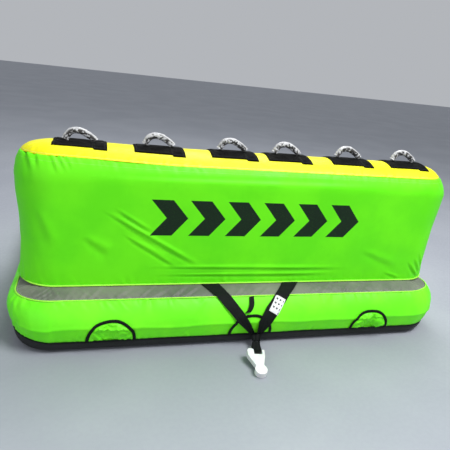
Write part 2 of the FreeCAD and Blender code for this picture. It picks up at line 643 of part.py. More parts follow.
def closure_zip():
    """The zip that lets the bladders out, along the back of the base."""
    y = HALF_Y
    tape = Part.makeBox(2 * ZIP_HALF_LENGTH, 1.0, 30, Vector(-ZIP_HALF_LENGTH, y + 0.4, WIDEST_Z - 15))
    save("zip_tape", tape)
    save("zip_teeth", Part.makeBox(2 * ZIP_HALF_LENGTH - 20, 1.6, 6,
                                   Vector(-ZIP_HALF_LENGTH + 10, y + 1.4, WIDEST_Z - 3)))
    x = -ZIP_HALF_LENGTH + 30
    body = rounded_prism(9, 6, 5.9, 0, 3.0)
    body.rotate(Vector(0, 0, 0), X, -90)
    body.translate(Vector(x, y + 3.4, WIDEST_Z))
    post = Part.makeBox(8, 3.4, 3, Vector(x - 4, y + 6.4, WIDEST_Z - 1.5))
    hole = Part.makeCylinder(0.9, 20, Vector(x, y + 8.4, WIDEST_Z - 10), Z)
    save("zip_slider", body.fuse(post).cut(hole))
    # the puller hangs from the slider's post on a small pin
    pin = Part.makeCylinder(0.85, 10, Vector(x, y + 8.4, WIDEST_Z - 5), Z)
    plate = Part.makeBox(34, 1.8, 10, Vector(x + 5.0, y + 7.5, WIDEST_Z - 5))
    arms = [Part.makeBox(6.0, 1.8, 3.0, Vector(x - 0.9, y + 7.5, WIDEST_Z + z)) for z in (-5.0, 2.0)]
    save("zip_puller", plate.fuse(arms[0]).fuse(arms[1]).fuse(pin).removeSplitter())


def deck_pads():
    pads = [rounded_prism(EVA_LENGTH / 2, EVA_DEPTH / 2, 45, BASE_HEIGHT + 0.2,
                          BASE_HEIGHT + EVA_THICK, (x, EVA_CENTRE_Y)) for x in RIDER_X]
    save("kneeling_pads", Part.makeCompound(pads))


def anchor_webs():
    """The harness straps' tails, sewn under the deck behind the wall seam."""
    webs = [Part.makeBox(65, 330, 2.4, Vector(HARNESS_X + s * STRAP_TOP_X - 32.5, -645,
                                              BASE_HEIGHT - COVER - 2.7)) for s in (-1, 1)]
    save("harness_tails", Part.makeCompound(webs))


def main():
    os.makedirs("parts", exist_ok=True)
    base_cover()
    pipings()
    base_bladders()
    wall_cover()
    wall_bladder()
    valves_and_flaps()
    handles()
    harness()
    tow_lead()
    connector()
    tether_tab()
    closure_zip()
    deck_pads()
    anchor_webs()


main()
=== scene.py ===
import math
import random

import bmesh
import bpy
import numpy as np
from mathutils import Matrix, Vector


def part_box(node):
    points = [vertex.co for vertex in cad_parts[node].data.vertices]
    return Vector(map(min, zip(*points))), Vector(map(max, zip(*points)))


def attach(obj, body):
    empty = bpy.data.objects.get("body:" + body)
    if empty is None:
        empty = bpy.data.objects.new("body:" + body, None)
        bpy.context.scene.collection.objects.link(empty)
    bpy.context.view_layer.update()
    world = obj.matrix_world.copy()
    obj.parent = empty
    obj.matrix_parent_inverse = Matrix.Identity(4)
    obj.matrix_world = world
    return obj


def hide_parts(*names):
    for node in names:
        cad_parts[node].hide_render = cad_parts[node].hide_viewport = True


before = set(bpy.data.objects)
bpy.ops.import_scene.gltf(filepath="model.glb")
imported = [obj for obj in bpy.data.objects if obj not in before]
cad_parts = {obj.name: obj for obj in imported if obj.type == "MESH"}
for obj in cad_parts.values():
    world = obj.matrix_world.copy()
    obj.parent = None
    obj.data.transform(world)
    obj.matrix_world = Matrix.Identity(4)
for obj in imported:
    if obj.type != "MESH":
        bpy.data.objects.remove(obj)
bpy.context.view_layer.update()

SIDES = ("left", "middle", "right")


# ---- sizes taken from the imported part, in metres ----
def low_high(node):
    low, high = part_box(node)
    return np.array(low), np.array(high)


SIDE_LOW, SIDE_HIGH = low_high("base_side_panel")
HALF_X, HALF_Y = SIDE_HIGH[0], SIDE_HIGH[1]
BOTTOM_SEAM, DECK_SEAM = SIDE_LOW[2], SIDE_HIGH[2]
DECK_TOP = low_high("base_deck_panel")[1][2]
BASE_CORNER = 0.180
WIDEST = 0.110              # height of the base's widest line
LOWER_ROLL, LOWER_HIGH = 0.100, WIDEST
UPPER_ROLL, UPPER_HIGH = 0.150, DECK_TOP - WIDEST

WALL_LOW, WALL_HIGH = low_high("wall_side_panel")
WALL_TOP = low_high("wall_top_panel")[1][2]
WALL_SEAM = WALL_HIGH[2]
WALL_X, WALL_Y = (WALL_LOW[:2] + WALL_HIGH[:2]) / 2
WALL_HALF, WALL_DEEP = (WALL_HIGH[:2] - WALL_LOW[:2]) / 2
WALL_ROLL, WALL_ROLL_HIGH = WALL_DEEP, 0.130
WALL_ROLL_Z = WALL_TOP - WALL_ROLL_HIGH

CLOTH = 0.0012              # how thick the covers are
FLAP_HALF, FLAP_HIGH = 0.097, 0.096
FLAP_HEM = 0.012            # how far a flap laps over the edge of its opening
FLAP_Z = low_high("base_flap_left")[0][2]
FLAP_X = [float(sum(low_high("base_flap_" + s))[0] / 2) for s in SIDES]
WALL_FLAP_LOW, WALL_FLAP_TOP = low_high("wall_flap")
WALL_FLAP_X, WALL_FLAP_Z = (WALL_FLAP_LOW[0] + WALL_FLAP_TOP[0]) / 2, WALL_FLAP_LOW[2]
HANDLES = [float(sum(low_high("handle_%d_core" % n))[0] / 2) for n in range(1, 7)]
DECK_STRAP_X = (-0.150, 0.178)
DECK_CHANNEL_X = 0.31       # the two sunk lines between the deck's three seats
LEAD_YAW = math.radians(-14.0)
LEAD_ROOT = np.array([0.030, -HALF_Y + 0.006])
PIN_REACH, PIN_Z = 0.117, 0.037
CONNECTOR_TURN = math.radians(5.0)


# ---- meshes from rows of points ----
def mesh_of(name, points, faces, uvs=None, sharp=None):
    """A smooth-shaded object; uvs is one pair of metres for each corner of each face."""
    me = bpy.data.meshes.new(name)
    me.from_pydata([tuple(p) for p in points], [], faces)
    if uvs is not None:
        layer = me.uv_layers.new(name="cloth_metres")
        layer.data.foreach_set("uv", np.asarray(uvs, np.float32).ravel())
    me.polygons.foreach_set("use_smooth", [True] * len(me.polygons))
    ob = bpy.data.objects.new(name, me)
    bpy.context.scene.collection.objects.link(ob)
    tidy(ob, sharp)
    return ob


def tidy(ob, sharp=None, merge=0.0):
    bm = bmesh.new()
    bm.from_mesh(ob.data)
    if merge:
        bmesh.ops.remove_doubles(bm, verts=bm.verts, dist=merge)
        bmesh.ops.dissolve_degenerate(bm, edges=bm.edges, dist=merge / 2)
    bmesh.ops.recalc_face_normals(bm, faces=bm.faces)
    if sharp:
        limit = math.radians(sharp)
        for e in bm.edges:
            if len(e.link_faces) == 2:
                e.smooth = e.calc_face_angle(0) < limit
    bm.to_mesh(ob.data)
    bm.free()


def grid_faces(rows, cols, wrap, u, v, start=0):
    """Quads of a grid and their UVs; u has one more entry than cols where it wraps."""
    r = np.arange(rows - 1)[:, None]
    c = np.arange(cols if wrap else cols - 1)[None, :]
    nxt = (c + 1) % cols
    quads = np.stack([r * cols + c, r * cols + nxt, (r + 1) * cols + nxt, (r + 1) * cols + c], -1)
    u0, u1 = u[c] + 0 * r, u[c + 1] + 0 * r
    v0, v1 = v[r] + 0 * c, v[r + 1] + 0 * c
    uv = np.stack([np.stack([u0, v0], -1), np.stack([u1, v0], -1),
                   np.stack([u1, v1], -1), np.stack([u0, v1], -1)], -2)
    return (quads.reshape(-1, 4) + start), uv.reshape(-1, 2)


def plan_loop(half_x, half_y, corner, steps):
    """Round a rounded rectangle from its front left; steps are the spacing on the
    front, right, back and left. Returns places, outward directions, running length."""
    spots, outward = [], []
    straight = (half_x - corner, half_y - corner)
    for q in range(4):
        reach, deep = ((straight[0], half_y), (straight[1], half_x))[q % 2]
        a = q * math.pi / 2
        along = np.array([math.cos(a), math.sin(a)])
        out = np.array([math.sin(a), -math.cos(a)])
        count = round(2 * reach / steps[q])
        for i in range(count):
            spots.append(along * (2 * reach * i / count - reach) + out * deep)
            outward.append(out)
        middle = along * reach + out * (deep - corner)
        turn = max(4, round(corner * math.pi / (steps[q] + steps[(q + 1) % 4])))
        for i in range(turn):
            t = math.pi / 2 * i / turn
            way = out * math.cos(t) + along * math.sin(t)
            spots.append(middle + way * corner)
            outward.append(way)
    spots, outward = np.array(spots), np.array(outward)
    gaps = np.linalg.norm(np.roll(spots, -1, 0) - spots, axis=1)
    return spots, outward, np.concatenate([[0], np.cumsum(gaps)])


def lift_rows(spots, outward, profile, centre):
    """Rows of points round a plan at each (inset, height), and their normals."""
    profile = np.asarray(profile, float)
    inset, z = profile[:, 0], profile[:, 1]
    slope = np.gradient(profile, axis=0)
    slope /= np.linalg.norm(slope, axis=1)[:, None]
    place = np.zeros((len(z), len(spots), 3))
    place[..., :2] = spots[None] - outward[None] * inset[:, None, None] + centre
    place[..., 2] = z[:, None]
    normal = np.zeros_like(place)
    normal[..., :2] = outward[None] * slope[:, 1][:, None, None]
    normal[..., 2] = slope[:, 0][:, None]
    return place, normal


def rows_inward(row, focus, centre, count):
    """Rows that carry a loop in to the middle line of its plan."""
    target = row.copy()
    target[:, 0] = np.clip(row[:, 0] - centre[0], -focus, focus) + centre[0]
    target[:, 1] = centre[1]
    share = (np.arange(1, count + 1) / count)[:, None, None]
    return row[None] * (1 - share) + target[None] * share


def row_lengths(place):
    mid = place[:, 0]
    return np.concatenate([[0], np.cumsum(np.linalg.norm(np.diff(mid, axis=0), axis=1))])


def ring_skin(name, place, run, merge=0.0, keep=None):
    rows, cols = place.shape[:2]
    faces, uv = grid_faces(rows, cols, True, run, row_lengths(place))
    if keep is not None:
        good = keep[faces].mean(1) > 0.5
        uv = uv.reshape(-1, 4, 2)[good].reshape(-1, 2)
        faces = faces[good]
    ob = mesh_of(name, place.reshape(-1, 3), faces.tolist(), uv)
    if merge or keep is not None:
        tidy(ob, None, merge or 1e-6)
    return ob


def loose_out(ob):
    bm = bmesh.new()
    bm.from_mesh(ob.data)
    bmesh.ops.delete(bm, geom=[v for v in bm.verts if not v.link_faces], context="VERTS")
    bm.to_mesh(ob.data)
    bm.free()


def closed_panel(name, top, under, u, v, sharp=50, parts=None):
    """A thin closed piece between two grids of the same size."""
    rows, cols = top.shape[:2]
    faces, uv = grid_faces(rows, cols, False, u, v)
    back, back_uv = grid_faces(rows, cols, False, u, v, rows * cols)
    index = np.arange(rows * cols).reshape(rows, cols)
    rim = np.concatenate([index[0], index[1:, -1], index[-1, -2::-1], index[-2:0:-1, 0]])
    uu, vv = np.meshgrid(u, v)
    flat = np.stack([uu, vv], -1).reshape(-1, 2)
    nxt = np.roll(rim, -1)
    walls = np.stack([rim, rim + rows * cols, nxt + rows * cols, nxt], -1)
    wall_uv = np.stack([flat[rim], flat[rim], flat[nxt], flat[nxt]], 1).reshape(-1, 2)
    points = np.concatenate([top.reshape(-1, 3), under.reshape(-1, 3)])
    every = np.concatenate([faces, back[:, ::-1], walls])
    every_uv = np.concatenate([uv, back_uv.reshape(-1, 4, 2)[:, ::-1].reshape(-1, 2), wall_uv])
    if parts is not None:
        parts.append((points, every, every_uv))
        return None
    return mesh_of(name, points, every.tolist(), every_uv, sharp)


def tube_part(path, radius, around, closed=False, across=None):
    """Points, faces and UVs of a tube; radius is one number or one for each place and side."""
    path = np.asarray(path, float)
    count = len(path)
    ahead = np.roll(path, -1, 0) - np.roll(path, 1, 0) if closed else np.gradient(path, axis=0)
    ahead /= np.linalg.norm(ahead, axis=1)[:, None]
    up = np.array([0, 0, 1.0]) if across is None else np.asarray(across, float)
    side = np.cross(ahead, up)
    side /= np.linalg.norm(side, axis=1)[:, None]
    over = np.cross(side, ahead)
    t = np.linspace(0, 2 * math.pi, around, endpoint=False)
    size = np.broadcast_to(np.asarray(radius, float), (count, around))
    ring = (path[:, None] + side[:, None] * (size * np.cos(t))[..., None]
            + over[:, None] * (size * np.sin(t))[..., None])
    gap = np.linalg.norm(np.diff(path, axis=0), axis=1)
    length = np.concatenate([[0], np.cumsum(gap)])
    mean = float(np.mean(size))
    u = np.linspace(0, 2 * math.pi * mean, around + 1)
    if closed:
        ring = np.concatenate([ring, ring[:1]])
        length = np.concatenate([length, [length[-1] + gap.mean()]])
    faces, uv = grid_faces(len(ring), around, True, u, length)
    points = ring.reshape(-1, 3)
    if not closed:
        faces = faces.tolist()
        faces.append(list(range(around))[::-1])
        faces.append([len(points) - around + i for i in range(around)])
        caps = np.zeros((2 * around, 2))
        uv = np.concatenate([uv, caps])
        return points, [list(f) for f in faces], uv
    points = points[:-around]
    faces = np.where(faces >= len(points), faces - len(points), faces)
    return points, faces.tolist(), uv


def joined(name, parts, sharp=None):
    """One object from a list of points, faces and UVs."""
    points, faces, uvs, start = [], [], [], 0
    for p, f, uv in parts:
        points.append(p)
        faces += [[int(i) + start for i in face] for face in f]
        uvs.append(uv)
        start += len(p)
    return mesh_of(name, np.concatenate(points), faces, np.concatenate(uvs), sharp)


# ---- how the cloth lies ----
def smooth(low, high, x):
    t = np.clip((x - low) / (high - low), 0, 1)
    return t * t * (3 - 2 * t)


def rough(x, z, scale, seed):
    """Slow unevenness of the cloth, from -1 to 1."""
    flat = np.zeros(np.broadcast(x, z).shape)
    rng = np.random.RandomState(seed)
    for k in range(9):
        way = rng.uniform(0, 2 * math.pi)
        wave = (0.6 + 0.25 * k) / scale
        flat = flat + np.sin(wave * (x * math.cos(way) + z * math.sin(way) * 1.3)
                             + rng.uniform(0, 6.28)) / (1 + 0.35 * k)
    return flat / 3.2


def gathers(run, off, total, seed, gap, reach, width, height, lean=0.0):
    """Small gathers that start at a seam and fade into the cloth. run is the place along
    the seam, off the distance from it, and lean how far they slope."""
    rng = random.Random(seed)
    lift = np.zeros((len(off), len(run)))
    at = 0.0
    while at < total:
        at += gap * rng.uniform(0.45, 1.7)
        far = reach * rng.uniform(0.4, 1.35)
        wide = width * rng.uniform(0.6, 1.4)
        high = height * rng.uniform(0.3, 1.2)
        slope = lean + rng.uniform(-0.4, 0.4)
        fade = np.clip(1 - off / far, 0, 1) ** 1.4 * smooth(-0.003, 0.009, off)
        live = fade > 0
        if not live.any():
            continue
        line = at + slope * off[live]
        away = (run[None, :] - line[:, None] + total / 2) % total - total / 2
        u = away / (wide * (1 + 1.4 * off[live] / far))[:, None]
        lift[live] += high * fade[live][:, None] * (np.exp(-u * u) - 0.75 * np.exp(-(u - 1.6) ** 2))
    return lift


def fold(x, z, start, stop, width, height, under=0.8):
    """One drawn fold: a ridge from start to stop with a groove below it."""
    sx, sz = start
    dx, dz = stop[0] - sx, stop[1] - sz
    long = math.hypot(dx, dz)
    t = ((x - sx) * dx + (z - sz) * dz) / long ** 2
    q = ((z - sz) * dx - (x - sx) * dz) / long
    if dx < 0:
        q = -q
    fade = smooth(-0.12, 0.3, t) * (1 - smooth(0.7, 1.12, t))
    wide = width * (0.7 + 0.6 * np.clip(t, 0, 1))
    return height * fade * (np.exp(-(q / wide) ** 2) - under * np.exp(-((q + 1.5 * wide) / wide) ** 2))


MOON = 2.2                  # how square a half-moon's shoulders are; 2 is an ellipse


def half_moon_share(x, z, mid_x, low_z, half, high):
    """Under 1 inside a half-moon that stands on its straight edge."""
    share = (np.abs((x - mid_x) / half) ** MOON + np.abs((z - low_z) / high) ** MOON) ** (1 / MOON)
    return np.where(z < low_z, np.maximum(share, 1.01), share)


def base_side_profile(z_low, z_high, count):
    """Insets and heights over the base's side."""
    def angle(z):
        return math.asin((z - WIDEST) / (UPPER_HIGH if z > WIDEST else LOWER_HIGH))
    rows = []
    for t in np.linspace(angle(z_low), angle(z_high), count):
        roll, high = (UPPER_ROLL, UPPER_HIGH) if t > 0 else (LOWER_ROLL, LOWER_HIGH)
        rows.append((roll - roll * math.cos(t), WIDEST + high * math.sin(t)))
    return rows


def base_swell(x, z, run):
    """The side is drawn into two soft facets that meet in a wavering crease."""
    line = 0.115 + 0.0035 * np.sin(run * 9.0 + 0.7) + 0.002 * np.sin(run * 23.0)
    up = np.clip((z - line) / (DECK_SEAM - line), 0, 1)
    down = np.clip((line - z) / (line - BOTTOM_SEAM), 0, 1)
    ridge = 0.0022 * np.exp(-((z - line) / 0.007) ** 2)
    return ridge - 0.0034 * np.sin(math.pi * up) - 0.0026 * np.sin(math.pi * down)


def base_ends(place, outward):
    """The base's ends stand fuller at the deck seam, and the bottom seam rises at the
    front left corner. It moves the rows in place."""
    x, y, z = place[..., 0], place[..., 1], place[..., 2]
    end = (np.abs(outward[:, 0]) ** 1.2)[None, :]
    left = np.interp(z, [0.053, 0.11, 0.16, 0.19, 0.213, 0.240], [-0.004, -0.008, 0.019, 0.032, 0.029, 0.004])
    right = np.interp(z, [0.053, 0.11, 0.16, 0.19, 0.213, 0.240], [0.004, 0.015, 0.036, 0.046, 0.046, 0.006])
    rise = (1 - smooth(-0.96, -0.78, x)) * (1 - smooth(-0.5, -0.2, y))
    place[..., 2] += 0.015 * rise * smooth(0.0, 0.05, z) * (1 - smooth(0.06, 0.17, z))
    place[..., 0] += np.where(x < 0, -left, right) * end


def front_point(x, z, skin):
    """A place on the base's front at a distance outside the cover."""
    z = np.asarray(z, float)
    high = np.where(z > WIDEST, UPPER_HIGH, LOWER_HIGH)
    roll = np.where(z > WIDEST, UPPER_ROLL, LOWER_ROLL)
    t = np.arcsin(np.clip((z - WIDEST) / high, -1, 1))
    out, up = np.cos(t) / roll, np.sin(t) / high
    long = np.hypot(out, up)
    place = np.zeros(np.broadcast(x, z).shape + (3,))
    place[..., 0] = x
    place[..., 1] = -HALF_Y + roll - roll * np.cos(t) - out / long * skin
    place[..., 2] = z + up / long * skin
    return place


def wall_swell(place, outward):
    """Full square shoulders at the wall's ends, a waist at mid height, and a flatter
    top to the left. It moves the rows in place."""
    x, z = place[..., 0], place[..., 2]
    end = (np.abs(outward[:, 0]) ** 1.3)[None, :]
    turn = np.arcsin(np.clip((z - WALL_ROLL_Z) / WALL_ROLL_HIGH, 0, 1))
    left = np.interp(z, [0.24, 0.30, 0.40, 0.50, 0.60, 0.66, 0.70, 0.747, 0.80],
                     [0.009, 0.002, -0.003, 0.001, 0.010, 0.011, 0.020, 0.033, 0.030])
    right = np.interp(z, [0.24, 0.30, 0.40, 0.50, 0.60, 0.66, 0.80],
                      [0.001, -0.003, -0.001, 0.005, 0.020, 0.028, 0.029])
    low = np.where(x < WALL_X, left, right)
    top = -0.013 * np.sin(np.clip(turn / 0.686, 0, 1) * math.pi / 2) * (1 - smooth(0.75, 1.5, turn))
    low = low * (1 - smooth(0.9, 1.5, turn))
    place[..., 0] += np.sign(x - WALL_X) * end * (low + top)
    place[..., 2] += shoulder(x) * np.sin(2 * turn)
    place[..., 2] -= 0.010 * (1 - smooth(-0.98, -0.83, x)) * smooth(0.8, 1.4, turn)


def shoulder(x):
    return 0.0165 * (1 - smooth(-0.86, -0.30, x))


WALL_FOLDS = [  # start and stop on the wall's front, width, height
    ((-0.600, 0.552), (-0.250, 0.346), 0.0075, 0.0075),
    ((-0.575, 0.572), (-0.435, 0.484), 0.0060, 0.0050),
    ((-0.540, 0.505), (-0.400, 0.415), 0.0055, 0.0038),
    ((-0.525, 0.451), (-0.335, 0.335), 0.0065, 0.0058),
    ((-0.545, 0.467), (-0.360, 0.364), 0.0050, 0.0036),
    ((-0.390, 0.323), (0.420, 0.313), 0.0070, 0.0064),
    ((-0.330, 0.304), (0.250, 0.300), 0.0050, 0.0034),
    ((-0.370, 0.287), (0.360, 0.285), 0.0065, 0.0058),
    ((-0.890, 0.776), (-0.880, 0.706), 0.0055, 0.0060),
    ((-0.864, 0.774), (-0.852, 0.714), 0.0050, 0.0052),
    ((-0.820, 0.760), (-0.790, 0.704), 0.0055, 0.0054),
    ((-0.799, 0.763), (-0.760, 0.710), 0.0050, 0.0054),
    ((-0.775, 0.763), (-0.738, 0.716), 0.0050, 0.0044),
    ((0.826, 0.335), (0.905, 0.255), 0.0060, 0.0060),
    ((0.858, 0.354), (0.920, 0.275), 0.0055, 0.0054),
    ((0.880, 0.384), (0.930, 0.305), 0.0055, 0.0044),
    ((0.700, 0.285), (0.800, 0.252), 0.0060, 0.0034),
    ((-0.630, 0.701), (0.575, 0.716), 0.0100, -0.0022),
    ((-0.690, 0.458), (-0.590, 0.396), 0.0180, 0.0034),
    ((-0.860, 0.560), (-0.800, 0.420), 0.0200, 0.0030),
    ((0.560, 0.400), (0.760, 0.330), 0.0180, 0.0026),
]


def flap_share(x, y, z):
    """Nearest half-moon on the base's front, as a share of its size."""
    share = np.full(np.shape(z), 9.0)
    for mid in FLAP_X:
        share = np.minimum(share, half_moon_share(x, z, mid, FLAP_Z, FLAP_HALF, FLAP_HIGH))
    return np.where(y < 0, share, 9.0)


# ---- inflated covers ----
def seam_dip(off):
    """How deep the cloth is drawn in at a distance from a seam."""
    return 0.0012 * np.exp(-(off / 0.0035) ** 2)[:, None]


def thicken(ob):
    thick = ob.modifiers.new("cloth", "SOLIDIFY")
    thick.thickness, thick.offset = CLOTH, -1.0


def base_side_cover():
    spots, outward, run = plan_loop(HALF_X, HALF_Y, BASE_CORNER, (0.0045, 0.0075, 0.009, 0.0065))
    profile = base_side_profile(BOTTOM_SEAM, DECK_SEAM, 40)
    place, normal = lift_rows(spots, outward, profile, (0, 0))
    total = run[-1]
    up = row_lengths(place)
    x, y, z = place[..., 0], place[..., 1], place[..., 2]
    lift = base_swell(x, z, run[None, :-1])
    small = gathers(run[:-1], up[-1] - up, total, 11, 0.030, 0.050, 0.0052, 0.0030, 0.35)
    small += gathers(run[:-1], up, total, 12, 0.034, 0.042, 0.0052, 0.0026, -0.3)
    small += gathers(run[:-1], up, total, 14, 0.21, 0.120, 0.0090, 0.0028, 0.5)
    small += gathers(run[:-1], up[-1] - up, total, 15, 0.17, 0.090, 0.0080, 0.0030, -0.5)
    turned = 1 - np.abs(outward).max(1) ** 8          # more cloth gathers at the corners
    small += gathers(run[:-1], up, total, 13, 0.017, 0.150, 0.0060, 0.0040, 0.0) * turned
    small += gathers(run[:-1], up[-1] - up, total, 16, 0.020, 0.090, 0.0055, 0.0036, 0.1) * turned
    under_flap = smooth(0.95, 1.12, flap_share(x, y, z))
    near_strap = smooth(0.10, 0.14, np.abs(x - 0.02) - np.clip(z - 0.055, 0, 1) * 0.9 + 0.03)
    lift += small * under_flap * np.where(y < -0.5, 0.35 + 0.65 * near_strap, 1)
    lift += 0.0014 * rough(run[None, :-1], z, 0.05, 3) * under_flap
    zip_low, zip_high = low_high("zip_tape")
    above_zip = np.abs(z - (zip_low[2] + zip_high[2]) / 2) - (zip_high[2] - zip_low[2]) / 2
    by_zip = (y > 0) * (1 - smooth(0.0, 0.035, above_zip)) * (1 - smooth(0.0, 0.04, np.abs(x) - zip_high[0]))
    lift = lift * (1 - by_zip) - 0.0008 * by_zip     # the zip's tape holds the cloth flat
    lift -= seam_dip(np.minimum(up, up[-1] - up))
    place = place + normal * lift[..., None]
    base_ends(place, outward)
    keep = np.ones(x.shape, bool)
    for mid in FLAP_X:
        share = half_moon_share(x, z, mid, FLAP_Z + 0.002, FLAP_HALF - FLAP_HEM, FLAP_HIGH - FLAP_HEM)
        keep &= ~((share < 1) & (y < 0))
    ob = ring_skin("base_side_cover", place, run, keep=keep.ravel())
    loose_out(ob)
    thicken(ob)
    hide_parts("base_side_panel")
    dress(ob, "tube", BASE_GREEN)


def deck_cover():
    spots, outward, run = plan_loop(HALF_X, HALF_Y, BASE_CORNER, (0.0065,) * 4)
    profile = base_side_profile(DECK_SEAM, DECK_TOP - 0.0001, 20)
    place, normal = lift_rows(spots, outward, profile, (0, 0))
    up = row_lengths(place)
    total = run[-1]
    lift = gathers(run[:-1], up, total, 21, 0.026, 0.085, 0.0062, 0.0052, -0.9)
    lift += gathers(run[:-1], up, total, 22, 0.060, 0.120, 0.0080, 0.0050, 0.9)
    lift += 0.0018 * rough(run[None, :-1], up[:, None] * 2, 0.04, 5)
    lift -= seam_dip(up)
    lift *= (1 - smooth(up[-1] - 0.035, up[-1], up) * 0.8)[:, None]
    for strap_x in DECK_STRAP_X:          # the straps press the gathers flat
        near = (1 - smooth(0.065, 0.100, np.abs(place[..., 0] - strap_x))) * (place[..., 1] < -0.5)
        lift *= 1 - 0.8 * near
    place = place + normal * lift[..., None]
    base_ends(place, outward)
    inner = rows_inward(place[-1], HALF_X - HALF_Y, (0, 0), 28)
    x, y = inner[..., 0], inner[..., 1]
    far_in = smooth(0.0, 0.12, np.minimum(HALF_X - 0.16 - np.abs(x), HALF_Y - 0.16 - np.abs(y)))
    channel = np.exp(-((np.abs(x) - DECK_CHANNEL_X) / 0.026) ** 2)
    inner[..., 2] -= far_in * channel * 0.009 * smooth(-0.36, -0.26, y)
    inner[..., 2] -= 0.0008 * (1 + rough(x, y, 0.05, 8)) * far_in
    place = np.concatenate([place, inner])
    ob = ring_skin("deck_cover", place, run, merge=1e-5)
    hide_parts("base_deck_panel")
    dress(ob, "tube", DECK_GREY)


def underside():
    spots, outward, run = plan_loop(HALF_X, HALF_Y, BASE_CORNER, (0.012,) * 4)
    seam_in = base_side_profile(BOTTOM_SEAM, DECK_SEAM, 3)[0][0]
    deep = BOTTOM_SEAM - 0.0004
    profile = [(seam_in + 0.058 * (1 - math.cos(t) ** 0.75), BOTTOM_SEAM - deep * math.sin(t) ** 0.8)
               for t in np.linspace(math.pi / 2, 0.0, 20)]
    place, normal = lift_rows(spots, outward, profile, (0, 0))
    up = row_lengths(place)
    lift = gathers(run[:-1], up[-1] - up, run[-1], 31, 0.045, 0.050, 0.0075, 0.0026)
    lift *= smooth(0.0, 0.03, up)[:, None]
    place = place + normal * lift[..., None]
    place[..., 2] = np.maximum(place[..., 2], 0.0003)
    base_ends(place, outward)
    inner = rows_inward(place[0], HALF_X - HALF_Y, (0, 0), 12)[::-1]
    ob = ring_skin("underside_cover", np.concatenate([inner, place]), run, merge=1e-5)
    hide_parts("base_bottom_panel")
    dress(ob, "tube", UNDERSIDE_BLACK)


def wall_profile(z_low, z_high, count):
    """Insets and heights up the wall's side and over its rounded top."""
    rows = []
    if z_low < WALL_ROLL_Z:
        rise = round((WALL_ROLL_Z - z_low) / 0.0062)
        rows = [(0.0, z_low + (WALL_ROLL_Z - z_low) * i / rise) for i in range(rise)]
        z_low = WALL_ROLL_Z
    first = math.asin((z_low - WALL_ROLL_Z) / WALL_ROLL_HIGH)
    last = math.asin(min(1.0, (z_high - WALL_ROLL_Z) / WALL_ROLL_HIGH))
    for t in np.linspace(first, last, count):
        rows.append((WALL_ROLL - WALL_ROLL * math.cos(t), WALL_ROLL_Z + WALL_ROLL_HIGH * math.sin(t)))
    return rows


def wall_side_cover():
    centre = (WALL_X, WALL_Y)
    spots, outward, run = plan_loop(WALL_HALF, WALL_DEEP, WALL_DEEP, (0.0055, 0.007, 0.010, 0.007))
    place, normal = lift_rows(spots, outward, wall_profile(WALL_LOW[2], WALL_SEAM, 13), centre)
    up = row_lengths(place)
    total = run[-1]
    x, y, z = place[..., 0], place[..., 1], place[..., 2]
    lift = np.zeros(x.shape)
    front = np.clip((-y - 0.54) / 0.05, 0, 1)
    for start, stop, width, height in WALL_FOLDS:
        lift = lift + fold(x, z, start, stop, width, height) * front
    small = gathers(run[:-1], up[-1] - up, total, 41, 0.034, 0.045, 0.0060, 0.0024, 0.3)
    small += gathers(run[:-1], up, total, 42, 0.032, 0.050, 0.0060, 0.0028, -0.3)
    long = gathers(run[:-1], up, total, 43, 0.190, 0.130, 0.0110, 0.0036, 0.7)
    long += gathers(run[:-1], up[-1] - up, total, 44, 0.260, 0.150, 0.0120, 0.0026, -0.8)
    small += long * (1 - 0.85 * front)
    turned = 1 - np.abs(outward).max(1) ** 6
    small += gathers(run[:-1], up[-1] - up, total, 45, 0.022, 0.110, 0.0065, 0.0036, 0.2) * turned
    small += gathers(run[:-1], up, total, 46, 0.024, 0.140, 0.0070, 0.0036, -0.1) * turned
    clear = smooth(0.95, 1.15, np.where(y > WALL_Y, half_moon_share(
        x, z, WALL_FLAP_X, WALL_FLAP_Z, FLAP_HALF, FLAP_HIGH), 9.0))
    lift += small * clear + 0.0016 * rough(x - y, z, 0.09, 6) * clear
    lift -= seam_dip(np.minimum(up, up[-1] - up))
    place = place + normal * lift[..., None]
    wall_swell(place, outward)
    share = half_moon_share(x, z, WALL_FLAP_X, WALL_FLAP_Z + 0.004,
                            FLAP_HALF - FLAP_HEM, FLAP_HIGH - FLAP_HEM)
    keep = ~((share < 1) & (y > WALL_Y))
    ob = ring_skin("wall_side_cover", place, run, keep=keep.ravel())
    loose_out(ob)
    thicken(ob)
    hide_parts("wall_side_panel")
    dress(ob, "tube", WALL_GREEN)


def wall_top_cover():
    centre = (WALL_X, WALL_Y)
    spots, outward, run = plan_loop(WALL_HALF, WALL_DEEP, WALL_DEEP, (0.0065,) * 4)
    place, normal = lift_rows(spots, outward, wall_profile(WALL_SEAM, WALL_TOP, 30), centre)
    up = row_lengths(place)
    lift = gathers(run[:-1], up, run[-1], 51, 0.036, 0.036, 0.0058, 0.0022, 0.3)
    turned = 1 - np.abs(outward).max(1) ** 6
    lift += gathers(run[:-1], up, run[-1], 52, 0.022, 0.090, 0.0060, 0.0026) * turned
    lift -= seam_dip(up)
    place = place + normal * lift[..., None]
    wall_swell(place, outward)
    place[-1, :, 1] = WALL_Y
    ob = ring_skin("wall_top_cover", place, run, merge=2e-5)
    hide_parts("wall_top_panel")
    dress(ob, "tube", WALL_YELLOW)


def bladders():
    """Clear welded chambers with a sunk pocket for each valve."""
    for side, mid in zip(SIDES, FLAP_X):
        low, high = low_high("base_bladder_" + side)
        bladder("base_chamber_" + side, "base_bladder_" + side, (low + high) / 2, (high - low) / 2 - 0.002,
                0.178, (mid, low_high("base_valves")[1][1], 0.108), -1)
    low, high = low_high("wall_bladder")
    bladder("wall_chamber", "wall_bladder", (low + high) / 2, (high - low) / 2 - 0.004,
            0.2, (WALL_FLAP_X, low_high("wall_valve")[0][1], WALL_FLAP_Z + 0.048), 1)


